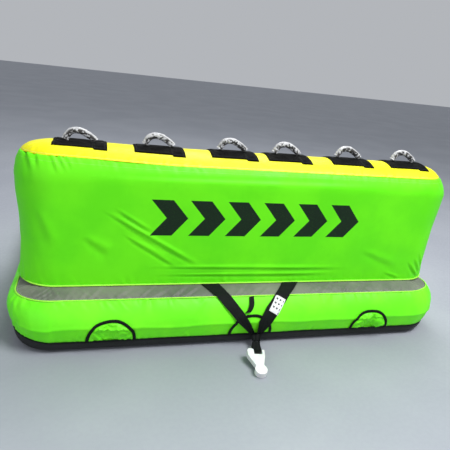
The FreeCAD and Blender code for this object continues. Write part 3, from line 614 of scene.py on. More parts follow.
def bladder(name, node, centre, half, corner, valve, side):
    """One chamber; side is -1 for a base chamber's front valve and 1 for the wall's back valve."""
    corner = min(corner, half[1])
    spots, outward, run = plan_loop(half[0], half[1], corner, (0.014,) * 4)
    t = np.linspace(-math.pi / 2 + 0.02, math.pi / 2 - 0.02, 30)
    if side < 0:                # a base chamber follows the base's own side
        inset = np.where(t < 0, LOWER_ROLL, UPPER_ROLL) * (1 - np.cos(t))
        rise = WIDEST + np.sin(t) * (np.where(t < 0, LOWER_HIGH, UPPER_HIGH) - 0.007)
    else:
        inset = np.where(t < 0, 0.03 * np.clip(-t - 1.2, 0, 1) ** 2, (WALL_ROLL - 0.01) * (1 - np.cos(t)))
        crown = WALL_ROLL_Z - 0.012
        rise = np.where(t < 0, np.interp(t, [t[0], 0], [WALL_LOW[2] + 0.008, crown]),
                        crown + (WALL_ROLL_HIGH - 0.004) * np.sin(t))
    place, _ = lift_rows(spots, outward, np.stack([inset, rise], 1), centre[:2])
    focus = max(0.0, half[0] - half[1])
    below = rows_inward(place[0], focus, centre[:2], 8)[::-1]
    above = rows_inward(place[-1], focus, centre[:2], 8)
    place = np.concatenate([below, place, above])
    if side < 0:
        base_ends(place, outward)
    else:
        place[..., 0] -= np.sign(place[..., 0] - WALL_X) * 0.012 * smooth(
            WALL_HALF - 0.2, WALL_HALF - 0.03, np.abs(place[..., 0] - WALL_X))
    away = np.hypot(place[..., 0] - valve[0], place[..., 2] - valve[2])
    facing = (place[..., 1] - centre[1]) * side > half[1] * 0.3
    sink = (1 - smooth(0.037, 0.052, away)) * facing
    place[..., 1] += (valve[1] - side * 0.0002 - place[..., 1]) * sink
    ob = ring_skin(name, place, run, merge=2e-5)
    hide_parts(node)
    dress(ob, "tube", CHAMBER_PVC)


# ---- edges ----
def edging():
    spots, outward, _ = plan_loop(HALF_X, HALF_Y, BASE_CORNER, (0.006,) * 4)
    inset, z = base_side_profile(BOTTOM_SEAM, DECK_SEAM, 3)[-1]
    path, _ = lift_rows(spots, outward, [(inset - 0.0005, z + 0.0012), (inset, z + 0.01)], (0, 0))
    base_ends(path, outward)
    deck = joined("deck_seam_piping", [tube_part(path[0], 0.0028, 10, closed=True)])
    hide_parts("deck_piping")
    dress(deck, "tube", PIPING_LIME)

    low = base_side_profile(BOTTOM_SEAM - 0.003, DECK_SEAM, 3)[0]
    path, _ = lift_rows(spots, outward, [(low[0] - 0.0012, low[1]), (0, 0.1)], (0, 0))
    base_ends(path, outward)
    bind = joined("bottom_seam_binding", [tube_part(path[0], 0.0026, 10, closed=True)])
    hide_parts("bottom_binding")
    dress(bind, "tube", BINDING_BLACK)

    spots, outward, _ = plan_loop(WALL_HALF, WALL_DEEP, WALL_DEEP, (0.006,) * 4)
    path, _ = lift_rows(spots, outward, [(-0.0022, WALL_LOW[2] + 0.0026), (0, 0.4)],
                        (WALL_X, WALL_Y))
    foot = joined("wall_foot_piping", [tube_part(path[0], 0.0034, 10, closed=True)])
    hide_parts("wall_piping")
    dress(foot, "tube", PIPING_LIME)


# ---- valve flaps ----
def settle(top, sewn, slack, push, most, frames=16):
    """Settled places of a slack cloth held at its sewn points, by a short simulation."""
    rows, cols = top.shape[:2]
    faces, uv = grid_faces(rows, cols, False, np.arange(cols), np.arange(rows))
    ob = mesh_of("settling_cloth", top.reshape(-1, 3), faces.tolist(), uv)
    group = ob.vertex_groups.new(name="sewn")
    group.add(np.flatnonzero(sewn.ravel()).tolist(), 1.0, "REPLACE")
    cloth = ob.modifiers.new("settle", "CLOTH")
    cloth.settings.quality = 6
    cloth.settings.mass = 0.08
    cloth.settings.bending_stiffness = 0.02
    cloth.settings.vertex_group_mass = "sewn"
    cloth.settings.shrink_min = -slack
    cloth.settings.use_pressure = True
    cloth.settings.uniform_pressure_force = push
    cloth.settings.effector_weights.gravity = 0.0
    cloth.collision_settings.use_collision = False
    cloth.point_cache.frame_start, cloth.point_cache.frame_end = 1, frames
    scene = bpy.context.scene
    for frame_number in range(1, frames + 1):
        scene.frame_set(frame_number)
    shaped = ob.evaluated_get(bpy.context.evaluated_depsgraph_get())
    place = np.zeros(rows * cols * 3)
    shaped.data.vertices.foreach_get("co", place)
    bpy.data.objects.remove(ob)
    scene.frame_set(1)
    move = place.reshape(top.shape) - top
    long = np.linalg.norm(move, axis=-1, keepdims=True)
    return top + move * np.minimum(1, most / np.maximum(long, 1e-9))


def half_moon_edge(a):
    """Across and up on a half-moon's round edge, as shares of its size."""
    c, s = np.cos(a), np.sin(a)
    return np.sign(c) * np.abs(c) ** (2 / MOON), np.abs(s) ** (2 / MOON)


def flap_grid(mid, low_z, skin, rough_seed, crumple):
    """Rings of points that fill a half-moon, and their place on the plan of the flap."""
    rings, spokes = 21, 85
    share = np.linspace(0, 1, rings)[:, None]
    a = np.linspace(0, math.pi, spokes)[None, :]
    # the innermost ring is a short line on the straight edge
    across, up = half_moon_edge(a)
    x = across * (0.25 + 0.75 * share) * FLAP_HALF
    z = up * share * FLAP_HIGH
    bump = crumple * (0.5 + 0.5 * rough(x, z, 0.013, rough_seed)) * np.sin(math.pi * share) ** 0.5
    spoke = np.sin(a * 7 + rough_seed) + 0.6 * np.sin(a * 13 + 2.1 * rough_seed + 3 * share)
    bump = bump + crumple * 0.9 * np.maximum(0, spoke) * share * (1.12 - share)
    bump = bump * smooth(0.0, 0.014, z) * (1 - 0.85 * smooth(0.78, 0.90, share))
    return x + mid, z + low_z, skin + bump


def flap_pieces(cloth_name, tape_name, mid, low_z, surface, body, seed, nodes):
    """A half-moon flap and the tape round its edge. The middle flap rides the tube,
    since the straps hold it down; the others have a body of their own and open."""
    opens = body != "tube"
    x, z, skin = flap_grid(mid, low_z, 0.0022, seed, 0.0075 if opens else 0.0008)
    top, under = surface(x, z, skin), surface(x, z, skin - 0.0010)
    sewn = np.zeros(x.shape, bool)
    sewn[0] = sewn[-4:] = sewn[:, [0, -1]] = True
    if opens:
        settled = settle(top, sewn, 0.09, 0.8, 0.011)
        top, under = settled, under + settled - top
    u, v = np.linspace(0, 0.28, x.shape[1]), np.linspace(0, 0.1, x.shape[0])
    cloth = closed_panel(cloth_name, top, under, u, v)
    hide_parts(nodes[0])
    dress(cloth, body, BASE_GREEN)
    a = np.linspace(0, math.pi, 121)
    wave = 1 + 0.008 * np.sin(a * 7 + seed)
    across, up = half_moon_edge(a)
    edge_x, edge_z = across * FLAP_HALF * 0.955 * wave, up * FLAP_HIGH * 0.955 * wave
    foot = 0.0012
    base_x = np.linspace(-FLAP_HALF * 0.93, FLAP_HALF * 0.93, 50)
    base_z = np.full(50, foot) + 0.0004 * np.sin(base_x * 90)
    px = np.concatenate([edge_x, base_x[1:-1]])
    pz = np.concatenate([np.maximum(edge_z, foot), base_z[1:-1]])
    middle = surface(px + mid, pz + low_z, np.full(len(px), 0.0040))
    above = surface(px + mid, pz + low_z, np.full(len(px), 0.0100))
    out = above - middle
    out /= np.linalg.norm(out, axis=1)[:, None]
    tape = joined(tape_name, [tape_ring(middle, out, 0.0064, 0.0024)])
    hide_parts(nodes[1])
    dress(tape, body, BINDING_BLACK)


def tape_ring(path, out, half_wide, half_thick):
    """A folded tape run round a closed path, flat against the cloth."""
    ahead = np.roll(path, -1, 0) - np.roll(path, 1, 0)
    ahead /= np.linalg.norm(ahead, axis=1)[:, None]
    side = np.cross(ahead, out)
    side /= np.linalg.norm(side, axis=1)[:, None]
    around = 12
    t = np.linspace(0, 2 * math.pi, around, endpoint=False)
    c, s = np.cos(t), np.sin(t)
    c, s = np.sign(c) * np.abs(c) ** 0.6, np.sign(s) * np.abs(s) ** 0.8
    ring = path[:, None] + side[:, None] * (c * half_wide)[:, None] + out[:, None] * (s * half_thick)[:, None]
    ring = np.concatenate([ring, ring[:1]])
    length = np.concatenate([[0], np.cumsum(np.linalg.norm(np.diff(ring[:, 0], axis=0), axis=1))])
    faces, uv = grid_faces(len(ring), around, True, np.linspace(0, 0.03, around + 1), length)
    count = (len(ring) - 1) * around
    return ring.reshape(-1, 3)[:count], np.where(faces >= count, faces - count, faces).tolist(), uv


def flaps():
    def on_front(x, z, skin):
        run = x + HALF_X - BASE_CORNER
        return front_point(x, z, skin + base_swell(x, z, run) + 0.0006)

    def on_back(x, z, skin):
        place = np.zeros(np.shape(x) + (3,))
        place[..., 0], place[..., 2] = x, z
        place[..., 1] = WALL_Y + WALL_DEEP + skin
        return place

    for n, (side, mid) in enumerate(zip(SIDES, FLAP_X)):
        body = "tube" if side == "middle" else "flap_" + side
        flap_pieces("valve_flap_" + side, "valve_flap_tape_" + side, mid, FLAP_Z, on_front, body,
                    61 + n, ("base_flap_" + side, "base_flap_binding_" + side))
    flap_pieces("wall_valve_flap", "wall_valve_flap_tape", WALL_FLAP_X, WALL_FLAP_Z, on_back,
                "flap_wall", 71, ("wall_flap", "wall_flap_binding"))


# ---- handles ----
def crest_point(x, y, skin):
    """A place over the wall's rounded crest; y is measured from the wall's middle."""
    t = np.arccos(np.clip(np.abs(y) / WALL_ROLL, 0, 1))
    out, up = np.sign(y) * np.cos(t) / WALL_ROLL, np.sin(t) / WALL_ROLL_HIGH
    long = np.hypot(out, up)
    place = np.zeros(np.broadcast(x, y).shape + (3,))
    place[..., 0] = x
    place[..., 1] = WALL_Y + y + out / long * skin
    place[..., 2] = WALL_ROLL_Z + WALL_ROLL_HIGH * np.sin(t) + up / long * skin \
        + shoulder(place[..., 0]) * np.sin(2 * t)
    return place


def handle_pad(number, mid):
    half, block, hem = 0.1025, 0.052, 0.0095      # the block is the pad's wider end
    x, across = np.meshgrid(np.linspace(-half, half, 62), np.linspace(-1, 1, 54))
    deep = 0.070 + 0.009 * smooth(half - block - 0.002, half - block + 0.002, x)
    y = across * deep
    edge = np.minimum(half - np.abs(x), deep - np.abs(y))
    lift = 0.0012 + 0.0038 * (1 - (1 - np.clip(edge / 0.011, 0, 1)) ** 2) ** 0.5
    lift -= 0.0011 * np.exp(-((edge - hem) / 0.0016) ** 2)
    lift -= 0.0012 * np.exp(-((x - (half - block)) / 0.0018) ** 2)
    lift += 0.00035 * rough(x, y, 0.012, 80 + number) * smooth(0, 0.01, edge)
    lift = np.minimum(lift, 0.0050)
    top, under = crest_point(x + mid, y, lift), crest_point(x + mid, y, np.full(x.shape, 0.0002))
    sewn = (edge < 0.004) | (np.abs(edge - hem) < 0.0018) | (np.abs(x - (half - block)) < 0.0022)
    top = settle(top, sewn, 0.02, 5.0, 0.0018)
    pad = closed_panel("handle_pad_%d" % number, top, under,
                       np.linspace(0, 2 * half, 62), np.linspace(0, 0.16, 54), 60)
    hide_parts("handle_%d_pad" % number)
    dress(pad, "tube", PAD_BLACK)


def handle_grip(number, mid):
    """A sleeve gathered over the handle's foam, with flared ends."""
    low, high = low_high("handle_%d_grip" % number)
    radius = 0.0145
    foot_z, top_z = low[2] + radius, high[2] - radius
    count, around = 132, 28
    rise = top_z - foot_z
    line = curve_through([(-0.0575, -0.0105), (-0.0505, 0.0035), (-0.0360, rise * 0.80), (-0.0165, rise),
                          (0.0060, rise * 0.90), (0.0310, rise * 0.42), (0.0500, -0.0020),
                          (0.0570, -0.0105)], count)
    path = np.stack([line[:, 0] + mid, np.full(count, WALL_Y), foot_z + line[:, 1]], 1)
    rng = np.random.RandomState(100 + number)
    a = np.linspace(0, 2 * math.pi, around, endpoint=False)[None, :]
    s = np.linspace(-1, 1, count)[:, None]
    ruche = np.zeros((count, around))
    for k in range(26):
        at, wide = rng.uniform(-1, 1), rng.uniform(0.010, 0.028)
        way = rng.uniform(0, 6.28)
        ruche += rng.uniform(0.3, 1) * np.exp(-((s - at - 0.05 * np.sin(a + way)) / wide) ** 2) \
            * (0.55 + 0.45 * np.cos(a - way))
    size = 0.87 * radius * (0.96 + 0.04 * np.cos(2 * a)) + 0.0013 * np.clip(ruche, 0, 1.3)
    end = np.abs(s)
    size = size * (1 - 0.08 * np.exp(-((end - 0.84) / 0.04) ** 2) + 0.13 * smooth(0.88, 0.985, end))
    size = size * np.where(end > 0.996, 0.72, 1)
    size = np.minimum(size, radius * 1.12)
    grip = joined("handle_sleeve_%d" % number,
                  [tube_part(path, size, around, across=(0, 1, 0))])
    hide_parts("handle_%d_grip" % number)
    dress(grip, "handle_%d" % number, GRIP_SILVER)


# ---- tow harness ----
SLOPE = math.radians(30.0)
Z_STEPS = np.linspace(BOTTOM_SEAM + 0.003, DECK_TOP - 0.0018, 400)
Y_STEPS = front_point(0.0, Z_STEPS, 0.0)[:, 1]
SLOPE_STEPS = Z_STEPS * math.cos(SLOPE) + Y_STEPS * math.sin(SLOPE)


def height_on_slope(w):
    return np.interp(w, SLOPE_STEPS, Z_STEPS)


def slope_height(y, z):
    return z * math.cos(SLOPE) + y * math.sin(SLOPE)


STRAP_HEIGHTS = (0.0545, 0.122, 0.180, 0.213, 0.2385)
STRAP_EDGES = {  # inner and outer edge at those heights
    -1: ((0.0250, -0.0110, -0.0560, -0.0900, -0.1320), (0.0060, -0.0640, -0.1180, -0.1540, -0.2090)),
    1: ((0.0290, 0.0300, 0.0690, 0.1120, 0.1680), (0.0480, 0.0960, 0.1430, 0.1840, 0.2460))}


def strap_edges(sign, w):
    """Inner and outer edge of a strap at a height on the slope."""
    heights = np.interp(STRAP_HEIGHTS, Z_STEPS, SLOPE_STEPS)
    return [np.interp(w, heights, edge) for edge in STRAP_EDGES[sign]]


def web_lift(x, z):
    """How far the straps stand off where the middle flap lies under them."""
    return 0.0042 * (1 - smooth(1.0, 1.3, half_moon_share(x, z, FLAP_X[1], FLAP_Z, FLAP_HALF, FLAP_HIGH)))


def strap(sign, side):
    low, high = slope_height(-0.789, 0.054) + 0.0004, SLOPE_STEPS[-1]
    along = np.linspace(high, low, 90)[:, None]
    across = np.linspace(0, 1, 25)[None, :]
    inner, outer = strap_edges(sign, along)
    x = inner + (outer - inner) * across
    bunch = smooth(0.55, 1.0, (high - along) / (high - low))
    pleats = 0.0022 * bunch * np.sin(across * math.pi * 3.0 + 0.6 * sign)
    edge_roll = 0.0012 * (np.abs(2 * across - 1) ** 6) * (0.3 + bunch)
    slack = 0.0010 * np.sin(along * 70 + sign) * np.sin(across * 4 + along * 30)
    skin = 0.0052 + (0.0008 if sign > 0 else 0) + np.abs(pleats) + edge_roll + slack
    z = height_on_slope(along) + 0 * across
    skin = skin + web_lift(x, z) + 0.0024 * np.exp(-((z - DECK_SEAM - 0.001) / 0.006) ** 2)
    top, under = front_point(x, z, skin), front_point(x, z, skin - 0.0022)
    length = np.linspace(0, 0.27, 90)
    ob = closed_panel("harness_web_" + side, top, under, np.linspace(0, 0.065, 25), length, 40)
    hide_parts("harness_strap_" + side)
    dress(ob, "harness", WEBBING_BLACK)


def strap_label():
    """A woven label on the right strap, with plain dark blocks for its print."""
    corner = np.array([0.118, -0.186])
    across, along = np.array([0.040, -0.022]), np.array([-0.043, -0.064])
    a, b = np.meshgrid(np.linspace(0, 1, 14), np.linspace(0, 1, 24))
    spot = corner + a[..., None] * across + b[..., None] * along
    z = height_on_slope(spot[..., 1])
    skin = 0.0079 + 0.0006 * np.sin(a * 5 + b * 7) + 0.0003 * np.sin(b * 19) + web_lift(spot[..., 0], z)
    top, under = front_point(spot[..., 0], z, skin), front_point(spot[..., 0], z, skin - 0.0004)
    ob = closed_panel("harness_care_label", top, under, np.linspace(0, 0.045, 14),
                      np.linspace(0, 0.094, 24), 40)
    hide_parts("harness_label")
    dress(ob, "harness", LABEL_WHITE)


def lead_point(x, reach, z):
    c, s = math.cos(LEAD_YAW), math.sin(LEAD_YAW)
    x, reach = np.asarray(x, float), np.asarray(reach, float)
    return np.stack(np.broadcast_arrays(x * c + reach * s + LEAD_ROOT[0],
                                        x * s - reach * c + LEAD_ROOT[1], z), -1)


def curve_through(points, count):
    """A smooth line through a few places, by a Catmull-Rom spline."""
    p = np.asarray(points, float)
    p = np.concatenate([[2 * p[0] - p[1]], p, [2 * p[-1] - p[-2]]])
    out = []
    for t in np.linspace(0, len(points) - 1 - 1e-9, count):
        i, f = int(t), t % 1
        a, b, c, d = p[i:i + 4]
        out.append(0.5 * (2 * b + (c - a) * f + (2 * a - 5 * b + 4 * c - d) * f ** 2
                          + (3 * b - a - 3 * c + d) * f ** 3))
    return np.array(out)


def flat_web(line, half_width, thick, pleat, count_across=17, parts=None):
    """A webbing run in the lead's own frame: line is (reach, height), widths change along it."""
    rows = len(line)
    ahead = np.gradient(line, axis=0)
    ahead /= np.linalg.norm(ahead, axis=1)[:, None]
    out = np.stack([-ahead[:, 1], ahead[:, 0]], 1)
    a = np.linspace(-1, 1, count_across)[None, :]
    x = a * np.asarray(half_width)[:, None]
    folds = np.asarray(pleat)[:, None] * np.sin(a * math.pi * 2.2 + 0.4)
    grids = []
    for level in (thick / 2, -thick / 2):
        reach = line[:, 0][:, None] + out[:, 0][:, None] * (level + folds)
        z = line[:, 1][:, None] + out[:, 1][:, None] * (level + folds)
        grids.append(lead_point(x, reach, z))
    length = np.concatenate([[0], np.cumsum(np.linalg.norm(np.diff(line, axis=0), axis=1))])
    closed_panel("web", grids[0], grids[1], np.linspace(0, 0.05, count_across), length, parts=parts)


def yoke():
    line = curve_through([(0.0015, 0.0545), (0.0075, 0.0505), (0.016, 0.0440), (0.0295, 0.0372)], 24)
    parts = []
    flat_web(line, np.linspace(0.0215, 0.0180, 24), 0.0028, np.full(24, 0.0020), parts=parts)
    flat_web(line + np.array([0.0010, 0.0030]), np.linspace(0.0190, 0.0150, 24), 0.0024,
             np.full(24, 0.0014), parts=parts)
    ob = joined("harness_yoke_web", parts, 40)
    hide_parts("harness_yoke")
    dress(ob, "harness", WEBBING_BLACK)


def lead():
    line = curve_through([(0.0340, 0.0350), (0.052, 0.0245), (0.0700, 0.0172), (0.084, 0.0176),
                          (0.098, 0.0225), (0.1100, 0.0300)], 60)
    t = np.linspace(0, 1, 60)
    half = 0.0170 + 0.0070 * smooth(0.05, 0.4, t) - 0.0093 * smooth(0.55, 0.9, t)
    parts = []
    flat_web(line, half, 0.0030, 0.0014 * (1 - t), parts=parts)
    flat_web(line[:48] + np.array([0, 0.0032]), half[:48] * 0.93, 0.0022, 0.0010 * (1 - t[:48]), parts=parts)
    a = np.linspace(0, 2 * math.pi, 33)
    eye = []
    for r in (0.0082, 0.0048):
        x, b = np.meshgrid(np.linspace(-0.0148, 0.0148, 9), a)
        eye.append(lead_point(x, PIN_REACH + r * np.cos(b), PIN_Z + r * np.sin(b)))
    closed_panel("web", eye[0], eye[1], np.linspace(0, 0.03, 9), np.linspace(0, 0.05, 33), parts=parts)
    ob = joined("tow_lead_web", parts, 40)
    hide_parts("tow_lead")
    dress(ob, "lead", WEBBING_BLACK)


def connector():
    """The moulded connector, with its edges rounded as a moulding's are."""
    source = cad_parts["connector_body"]
    me = source.data.copy()
    me.materials.clear()
    ob = bpy.data.objects.new("quick_connector", me)
    bpy.context.scene.collection.objects.link(ob)
    pin = Vector(lead_point(0.0, PIN_REACH, PIN_Z).tolist())
    turn = Matrix.Rotation(CONNECTOR_TURN, 4, "Z")
    me.transform(Matrix.Translation(pin) @ turn @ Matrix.Translation(-pin))
    remesh = ob.modifiers.new("skin", "REMESH")
    remesh.mode, remesh.voxel_size, remesh.use_smooth_shade = "VOXEL", 0.0010, True
    soften = ob.modifiers.new("soften", "SMOOTH")
    soften.factor, soften.iterations = 0.5, 4
    baked = bpy.data.meshes.new_from_object(ob.evaluated_get(bpy.context.evaluated_depsgraph_get()))
    ob.modifiers.clear()
    ob.data = baked
    ob.name = "quick_connector"
    baked.polygons.foreach_set("use_smooth", [True] * len(baked.polygons))
    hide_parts("connector_body")
    dress(ob, "connector", CONNECTOR_WHITE)


def tether():
    """A small doubled webbing tab sewn into the deck seam."""
    line = curve_through([(0.003, 0.2105), (0.001, 0.196), (-0.002, 0.183), (-0.011, 0.1685),
                          (-0.021, 0.1590)], 30)
    half = np.interp(np.linspace(0, 1, 30), [0, 0.5, 1], [0.0105, 0.0115, 0.0125])[:, None]
    a = np.linspace(-1, 1, 11)[None, :]
    x = line[:, 0][:, None] + a * half
    z = line[:, 1][:, None] + 0.10 * a * half
    skin = 0.0056 + 0.0006 * np.sin(a * 3) + 0 * x
    ob = closed_panel("tether_web", front_point(x, z, skin), front_point(x, z, skin - 0.0020),
                      np.linspace(0, 0.022, 11), np.linspace(0, 0.046, 30), 40)
    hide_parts("tether_tab")
    dress(ob, "tether", WEBBING_BLACK)


# ---- deck and back ----
def kneeling_pads():
    low, high = low_high("kneeling_pads")
    half_x, half_y = 0.215, (high[1] - low[1]) / 2
    centre_y = (high[1] + low[1]) / 2
    faces, points, uvs, start = [], [], [], 0
    for mid in FLAP_X:
        centre = (round(mid, 3), centre_y)
        spots, outward, run = plan_loop(half_x, half_y, 0.045, (0.011,) * 4)
        edge = [(0.0, low[2]), (0.0, low[2] + 0.005)]
        edge += [(0.0045 - 0.0045 * math.cos(t), high[2] - 0.0045 + 0.0045 * math.sin(t))
                 for t in np.linspace(0.1, math.pi / 2, 6)]
        place, _ = lift_rows(spots, outward, edge, centre)
        place = np.concatenate([place, rows_inward(place[-1], 0.0, centre, 14)])
        f, _ = grid_faces(len(place), place.shape[1], True, run, row_lengths(place))
        p = place.reshape(-1, 3)
        faces += (f + start).tolist()
        uvs.append(p[f.ravel()][:, :2])
        points.append(p)
        start += len(p)
    ob = mesh_of("deck_knee_pads", np.concatenate(points), faces, np.concatenate(uvs), 50)
    tidy(ob, 50, 2e-5)
    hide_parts("kneeling_pads")
    dress(ob, "tube", KNEE_FOAM)


def zip_teeth():
    low, high = low_high("zip_teeth")
    pitch = 0.0042
    count = int((high[0] - low[0]) / pitch)
    y0, y1, mid_z = low[1], high[1], (low[2] + high[2]) / 2
    shape = np.array([[-0.0012, 0, -0.0026], [0.0012, 0, -0.0026], [0.0016, 0, 0.0004], [0.0, 0, 0.0022],
                      [-0.0016, 0, 0.0004]])
    parts = []
    side = [list(range(5))[::-1], list(range(5, 10))] + [[i, (i + 1) % 5, 5 + (i + 1) % 5, 5 + i]
                                                        for i in range(5)]
    for i in range(count):
        for flip, shift in ((1, 0.0), (-1, pitch / 2)):
            p = shape * np.array([1, 1, flip]) * 0.9
            at = np.array([low[0] + 0.002 + i * pitch + shift, 0, mid_z - 0.0004 * flip])
            near, far = p + at + [0, y0, 0], p * [0.85, 1, 0.85] + at + [0, y1 + 0.0004, 0]
            parts.append((np.concatenate([near, far]), side, np.zeros((30, 2))))
    ob = joined("zip_tooth_rows", parts, 30)
    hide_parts("zip_teeth")
    dress(ob, "tube", ZIP_BLACK)


# ---- finishes ----
def new_group(name, inputs, outputs):
    g = bpy.data.node_groups.new(name, "ShaderNodeTree")
    for label, kind, value in inputs:
        s = g.interface.new_socket(label, in_out="INPUT", socket_type=kind)
        if value is not None:
            s.default_value = value
    for label, kind in outputs:
        g.interface.new_socket(label, in_out="OUTPUT", socket_type=kind)
    return g, g.nodes.new("NodeGroupInput").outputs, g.nodes.new("NodeGroupOutput").inputs


def join(tree, value, socket):
    if isinstance(value, bpy.types.NodeSocket):
        tree.links.new(value, socket)
    elif value is not None:
        socket.default_value = value


def sums(tree, do, a, b=None, c=None):
    n = tree.nodes.new("ShaderNodeMath")
    n.operation = do
    for value, socket in zip((a, b, c), n.inputs):
        join(tree, value, socket)
    return n.outputs[0]


def parts_of(tree, vector):
    n = tree.nodes.new("ShaderNodeSeparateXYZ")
    join(tree, vector, n.inputs[0])
    return n.outputs


def noise_of(tree, vector, scale, detail=3.0, rough_share=0.55):
    n = tree.nodes.new("ShaderNodeTexNoise")
    join(tree, vector, n.inputs["Vector"])
    join(tree, scale, n.inputs["Scale"])
    n.inputs["Detail"].default_value = detail
    n.inputs["Roughness"].default_value = rough_share
    return n.outputs["Fac"]


def ramp(tree, value, low, high, out_low=0.0, out_high=1.0):
    n = tree.nodes.new("ShaderNodeMapRange")
    n.interpolation_type = "SMOOTHSTEP"
    for key, v in (("Value", value), ("From Min", low), ("From Max", high), ("To Min", out_low),
                   ("To Max", out_high)):
        join(tree, v, n.inputs[key])
    return n.outputs[0]


def blend_colours(tree, share, a, b):
    n = tree.nodes.new("ShaderNodeMix")
    n.data_type = "RGBA"
    join(tree, share, n.inputs[0])
    join(tree, a, n.inputs[6])
    join(tree, b, n.inputs[7])
    return n.outputs[2]


def use(tree, g, **values):
    n = tree.nodes.new("ShaderNodeGroup")
    n.node_tree = g
    for key, v in values.items():
        join(tree, v, n.inputs[key.replace("_", " ")])
    return n.outputs


def numbers(**values):
    """Number sockets of a node group, by name and first value."""
    return [(key.replace("_", " "), "NodeSocketFloat", value) for key, value in values.items()]


def plain_weave():
    g, i, o = new_group("plain_weave", [("Vector", "NodeSocketVector", None),
                                        ("Thread", "NodeSocketFloat", 0.0008)],
                        [("Height", "NodeSocketFloat")])
    p = parts_of(g, i["Vector"])
    turns = sums(g, "DIVIDE", 2 * math.pi, i["Thread"])
    u = sums(g, "SINE", sums(g, "MULTIPLY", p[0], turns))
    v = sums(g, "SINE", sums(g, "MULTIPLY", p[1], turns))
    g.links.new(sums(g, "MULTIPLY_ADD", sums(g, "MULTIPLY", u, v), 0.5, 0.5), o["Height"])
    return g


def uneven_dye():
    g, i, o = new_group("uneven_dye", [("Vector", "NodeSocketVector", None),
                                       ("Patch", "NodeSocketFloat", 6.0)],
                        [("Broad", "NodeSocketFloat"), ("Fine", "NodeSocketFloat")])
    g.links.new(ramp(g, noise_of(g, i["Vector"], i["Patch"], 4), 0.35, 0.68), o["Broad"])
    fine = noise_of(g, i["Vector"], sums(g, "MULTIPLY", i["Patch"], 45.0), 3)
    g.links.new(ramp(g, fine, 0.3, 0.7), o["Fine"])
    return g


def crinkle():
    """Fine random creases of a coated cloth."""
    g, i, o = new_group("cloth_crinkle", [("Vector", "NodeSocketVector", None),
                                          ("Scale", "NodeSocketFloat", 16.0)],
                        [("Height", "NodeSocketFloat")])
    bent = g.nodes.new("ShaderNodeVectorMath")
    bent.operation = "MULTIPLY_ADD"
    n = g.nodes.new("ShaderNodeTexNoise")
    g.links.new(i["Vector"], n.inputs["Vector"])
    n.inputs["Scale"].default_value = 7.0
    g.links.new(n.outputs["Color"], bent.inputs[0])
    bent.inputs[1].default_value = (0.08, 0.08, 0.08)
    g.links.new(i["Vector"], bent.inputs[2])
    a = noise_of(g, bent.outputs[0], i["Scale"], 2, 0.5)
    ridge = sums(g, "ABSOLUTE", sums(g, "SUBTRACT", a, 0.5))
    soft = ramp(g, ridge, 0.0, 0.16)
    g.links.new(soft, o["Height"])
    return g


def stitch_row():
    """A row of stitches across a cloth: dashes along one line."""
    g, i, o = new_group("stitch_row", numbers(Along=0.0, Across=0.0, Line=0.005, Pitch=0.004,
                                              Half_Width=0.0006),
                        [("Mask", "NodeSocketFloat")])
    off = sums(g, "ABSOLUTE", sums(g, "SUBTRACT", i["Across"], i["Line"]))
    near = sums(g, "LESS_THAN", off, i["Half Width"])
    part = sums(g, "FRACT", sums(g, "DIVIDE", i["Along"], i["Pitch"]))
    dash = sums(g, "LESS_THAN", part, 0.72)
    g.links.new(sums(g, "MULTIPLY", near, dash), o["Mask"])
    return g


def webbing_rib():
    g, i, o = new_group("webbing_rib", [("Vector", "NodeSocketVector", None)]
                        + numbers(Rib=0.0026, Twill=0.0034),
                        [("Height", "NodeSocketFloat"), ("Rib", "NodeSocketFloat")])
    p = parts_of(g, i["Vector"])
    cell = sums(g, "FRACT", sums(g, "DIVIDE", p[0], sums(g, "MULTIPLY", i["Rib"], 4.0)))
    fold_back = sums(g, "ABSOLUTE", sums(g, "SUBTRACT", cell, 0.5))
    slant = sums(g, "MULTIPLY_ADD", fold_back, sums(g, "MULTIPLY", i["Rib"], 4.0), p[1])
    twill = sums(g, "SINE", sums(g, "MULTIPLY", slant, sums(g, "DIVIDE", 2 * math.pi, i["Twill"])))
    rib = sums(g, "SINE", sums(g, "MULTIPLY", p[0], sums(g, "DIVIDE", 2 * math.pi, i["Rib"])))
    g.links.new(sums(g, "MULTIPLY_ADD", sums(g, "ADD", twill, sums(g, "MULTIPLY", rib, 0.6)), 0.3, 0.5),
                o["Height"])
    g.links.new(sums(g, "MULTIPLY_ADD", rib, 0.5, 0.5), o["Rib"])
    return g


def speed_chevrons():
    """A printed row of arrow bars on the wall's front, from its place on the object."""
    g, i, o = new_group("speed_chevrons", [("Position", "NodeSocketVector", None)]
                        + numbers(Left=-0.378, Right=0.51, Middle=0.54, Half=0.076, Pitch=0.158,
                                  Front=-0.6),
                        [("Mask", "NodeSocketFloat")])
    p = parts_of(g, i["Position"])
    from_mid = sums(g, "ABSOLUTE", sums(g, "SUBTRACT", p[2], i["Middle"]))
    point = sums(g, "MULTIPLY_ADD", from_mid, 0.85, p[0])
    along = sums(g, "SUBTRACT", point, i["Left"])
    part = sums(g, "FRACT", sums(g, "DIVIDE", along, i["Pitch"]))
    bar = sums(g, "LESS_THAN", part, 0.56)
    inside = sums(g, "MULTIPLY", sums(g, "GREATER_THAN", along, 0.0),
                  sums(g, "LESS_THAN", point, i["Right"]))
    tall = sums(g, "LESS_THAN", from_mid, i["Half"])
    front = sums(g, "LESS_THAN", p[1], i["Front"])
    mask = sums(g, "MULTIPLY", sums(g, "MULTIPLY", bar, inside), sums(g, "MULTIPLY", tall, front))
    g.links.new(mask, o["Mask"])
    return g


WEAVE, DYE, CRINKLE, STITCH, RIB, CHEVRONS = (plain_weave(), uneven_dye(), crinkle(), stitch_row(),
                                              webbing_rib(), speed_chevrons())


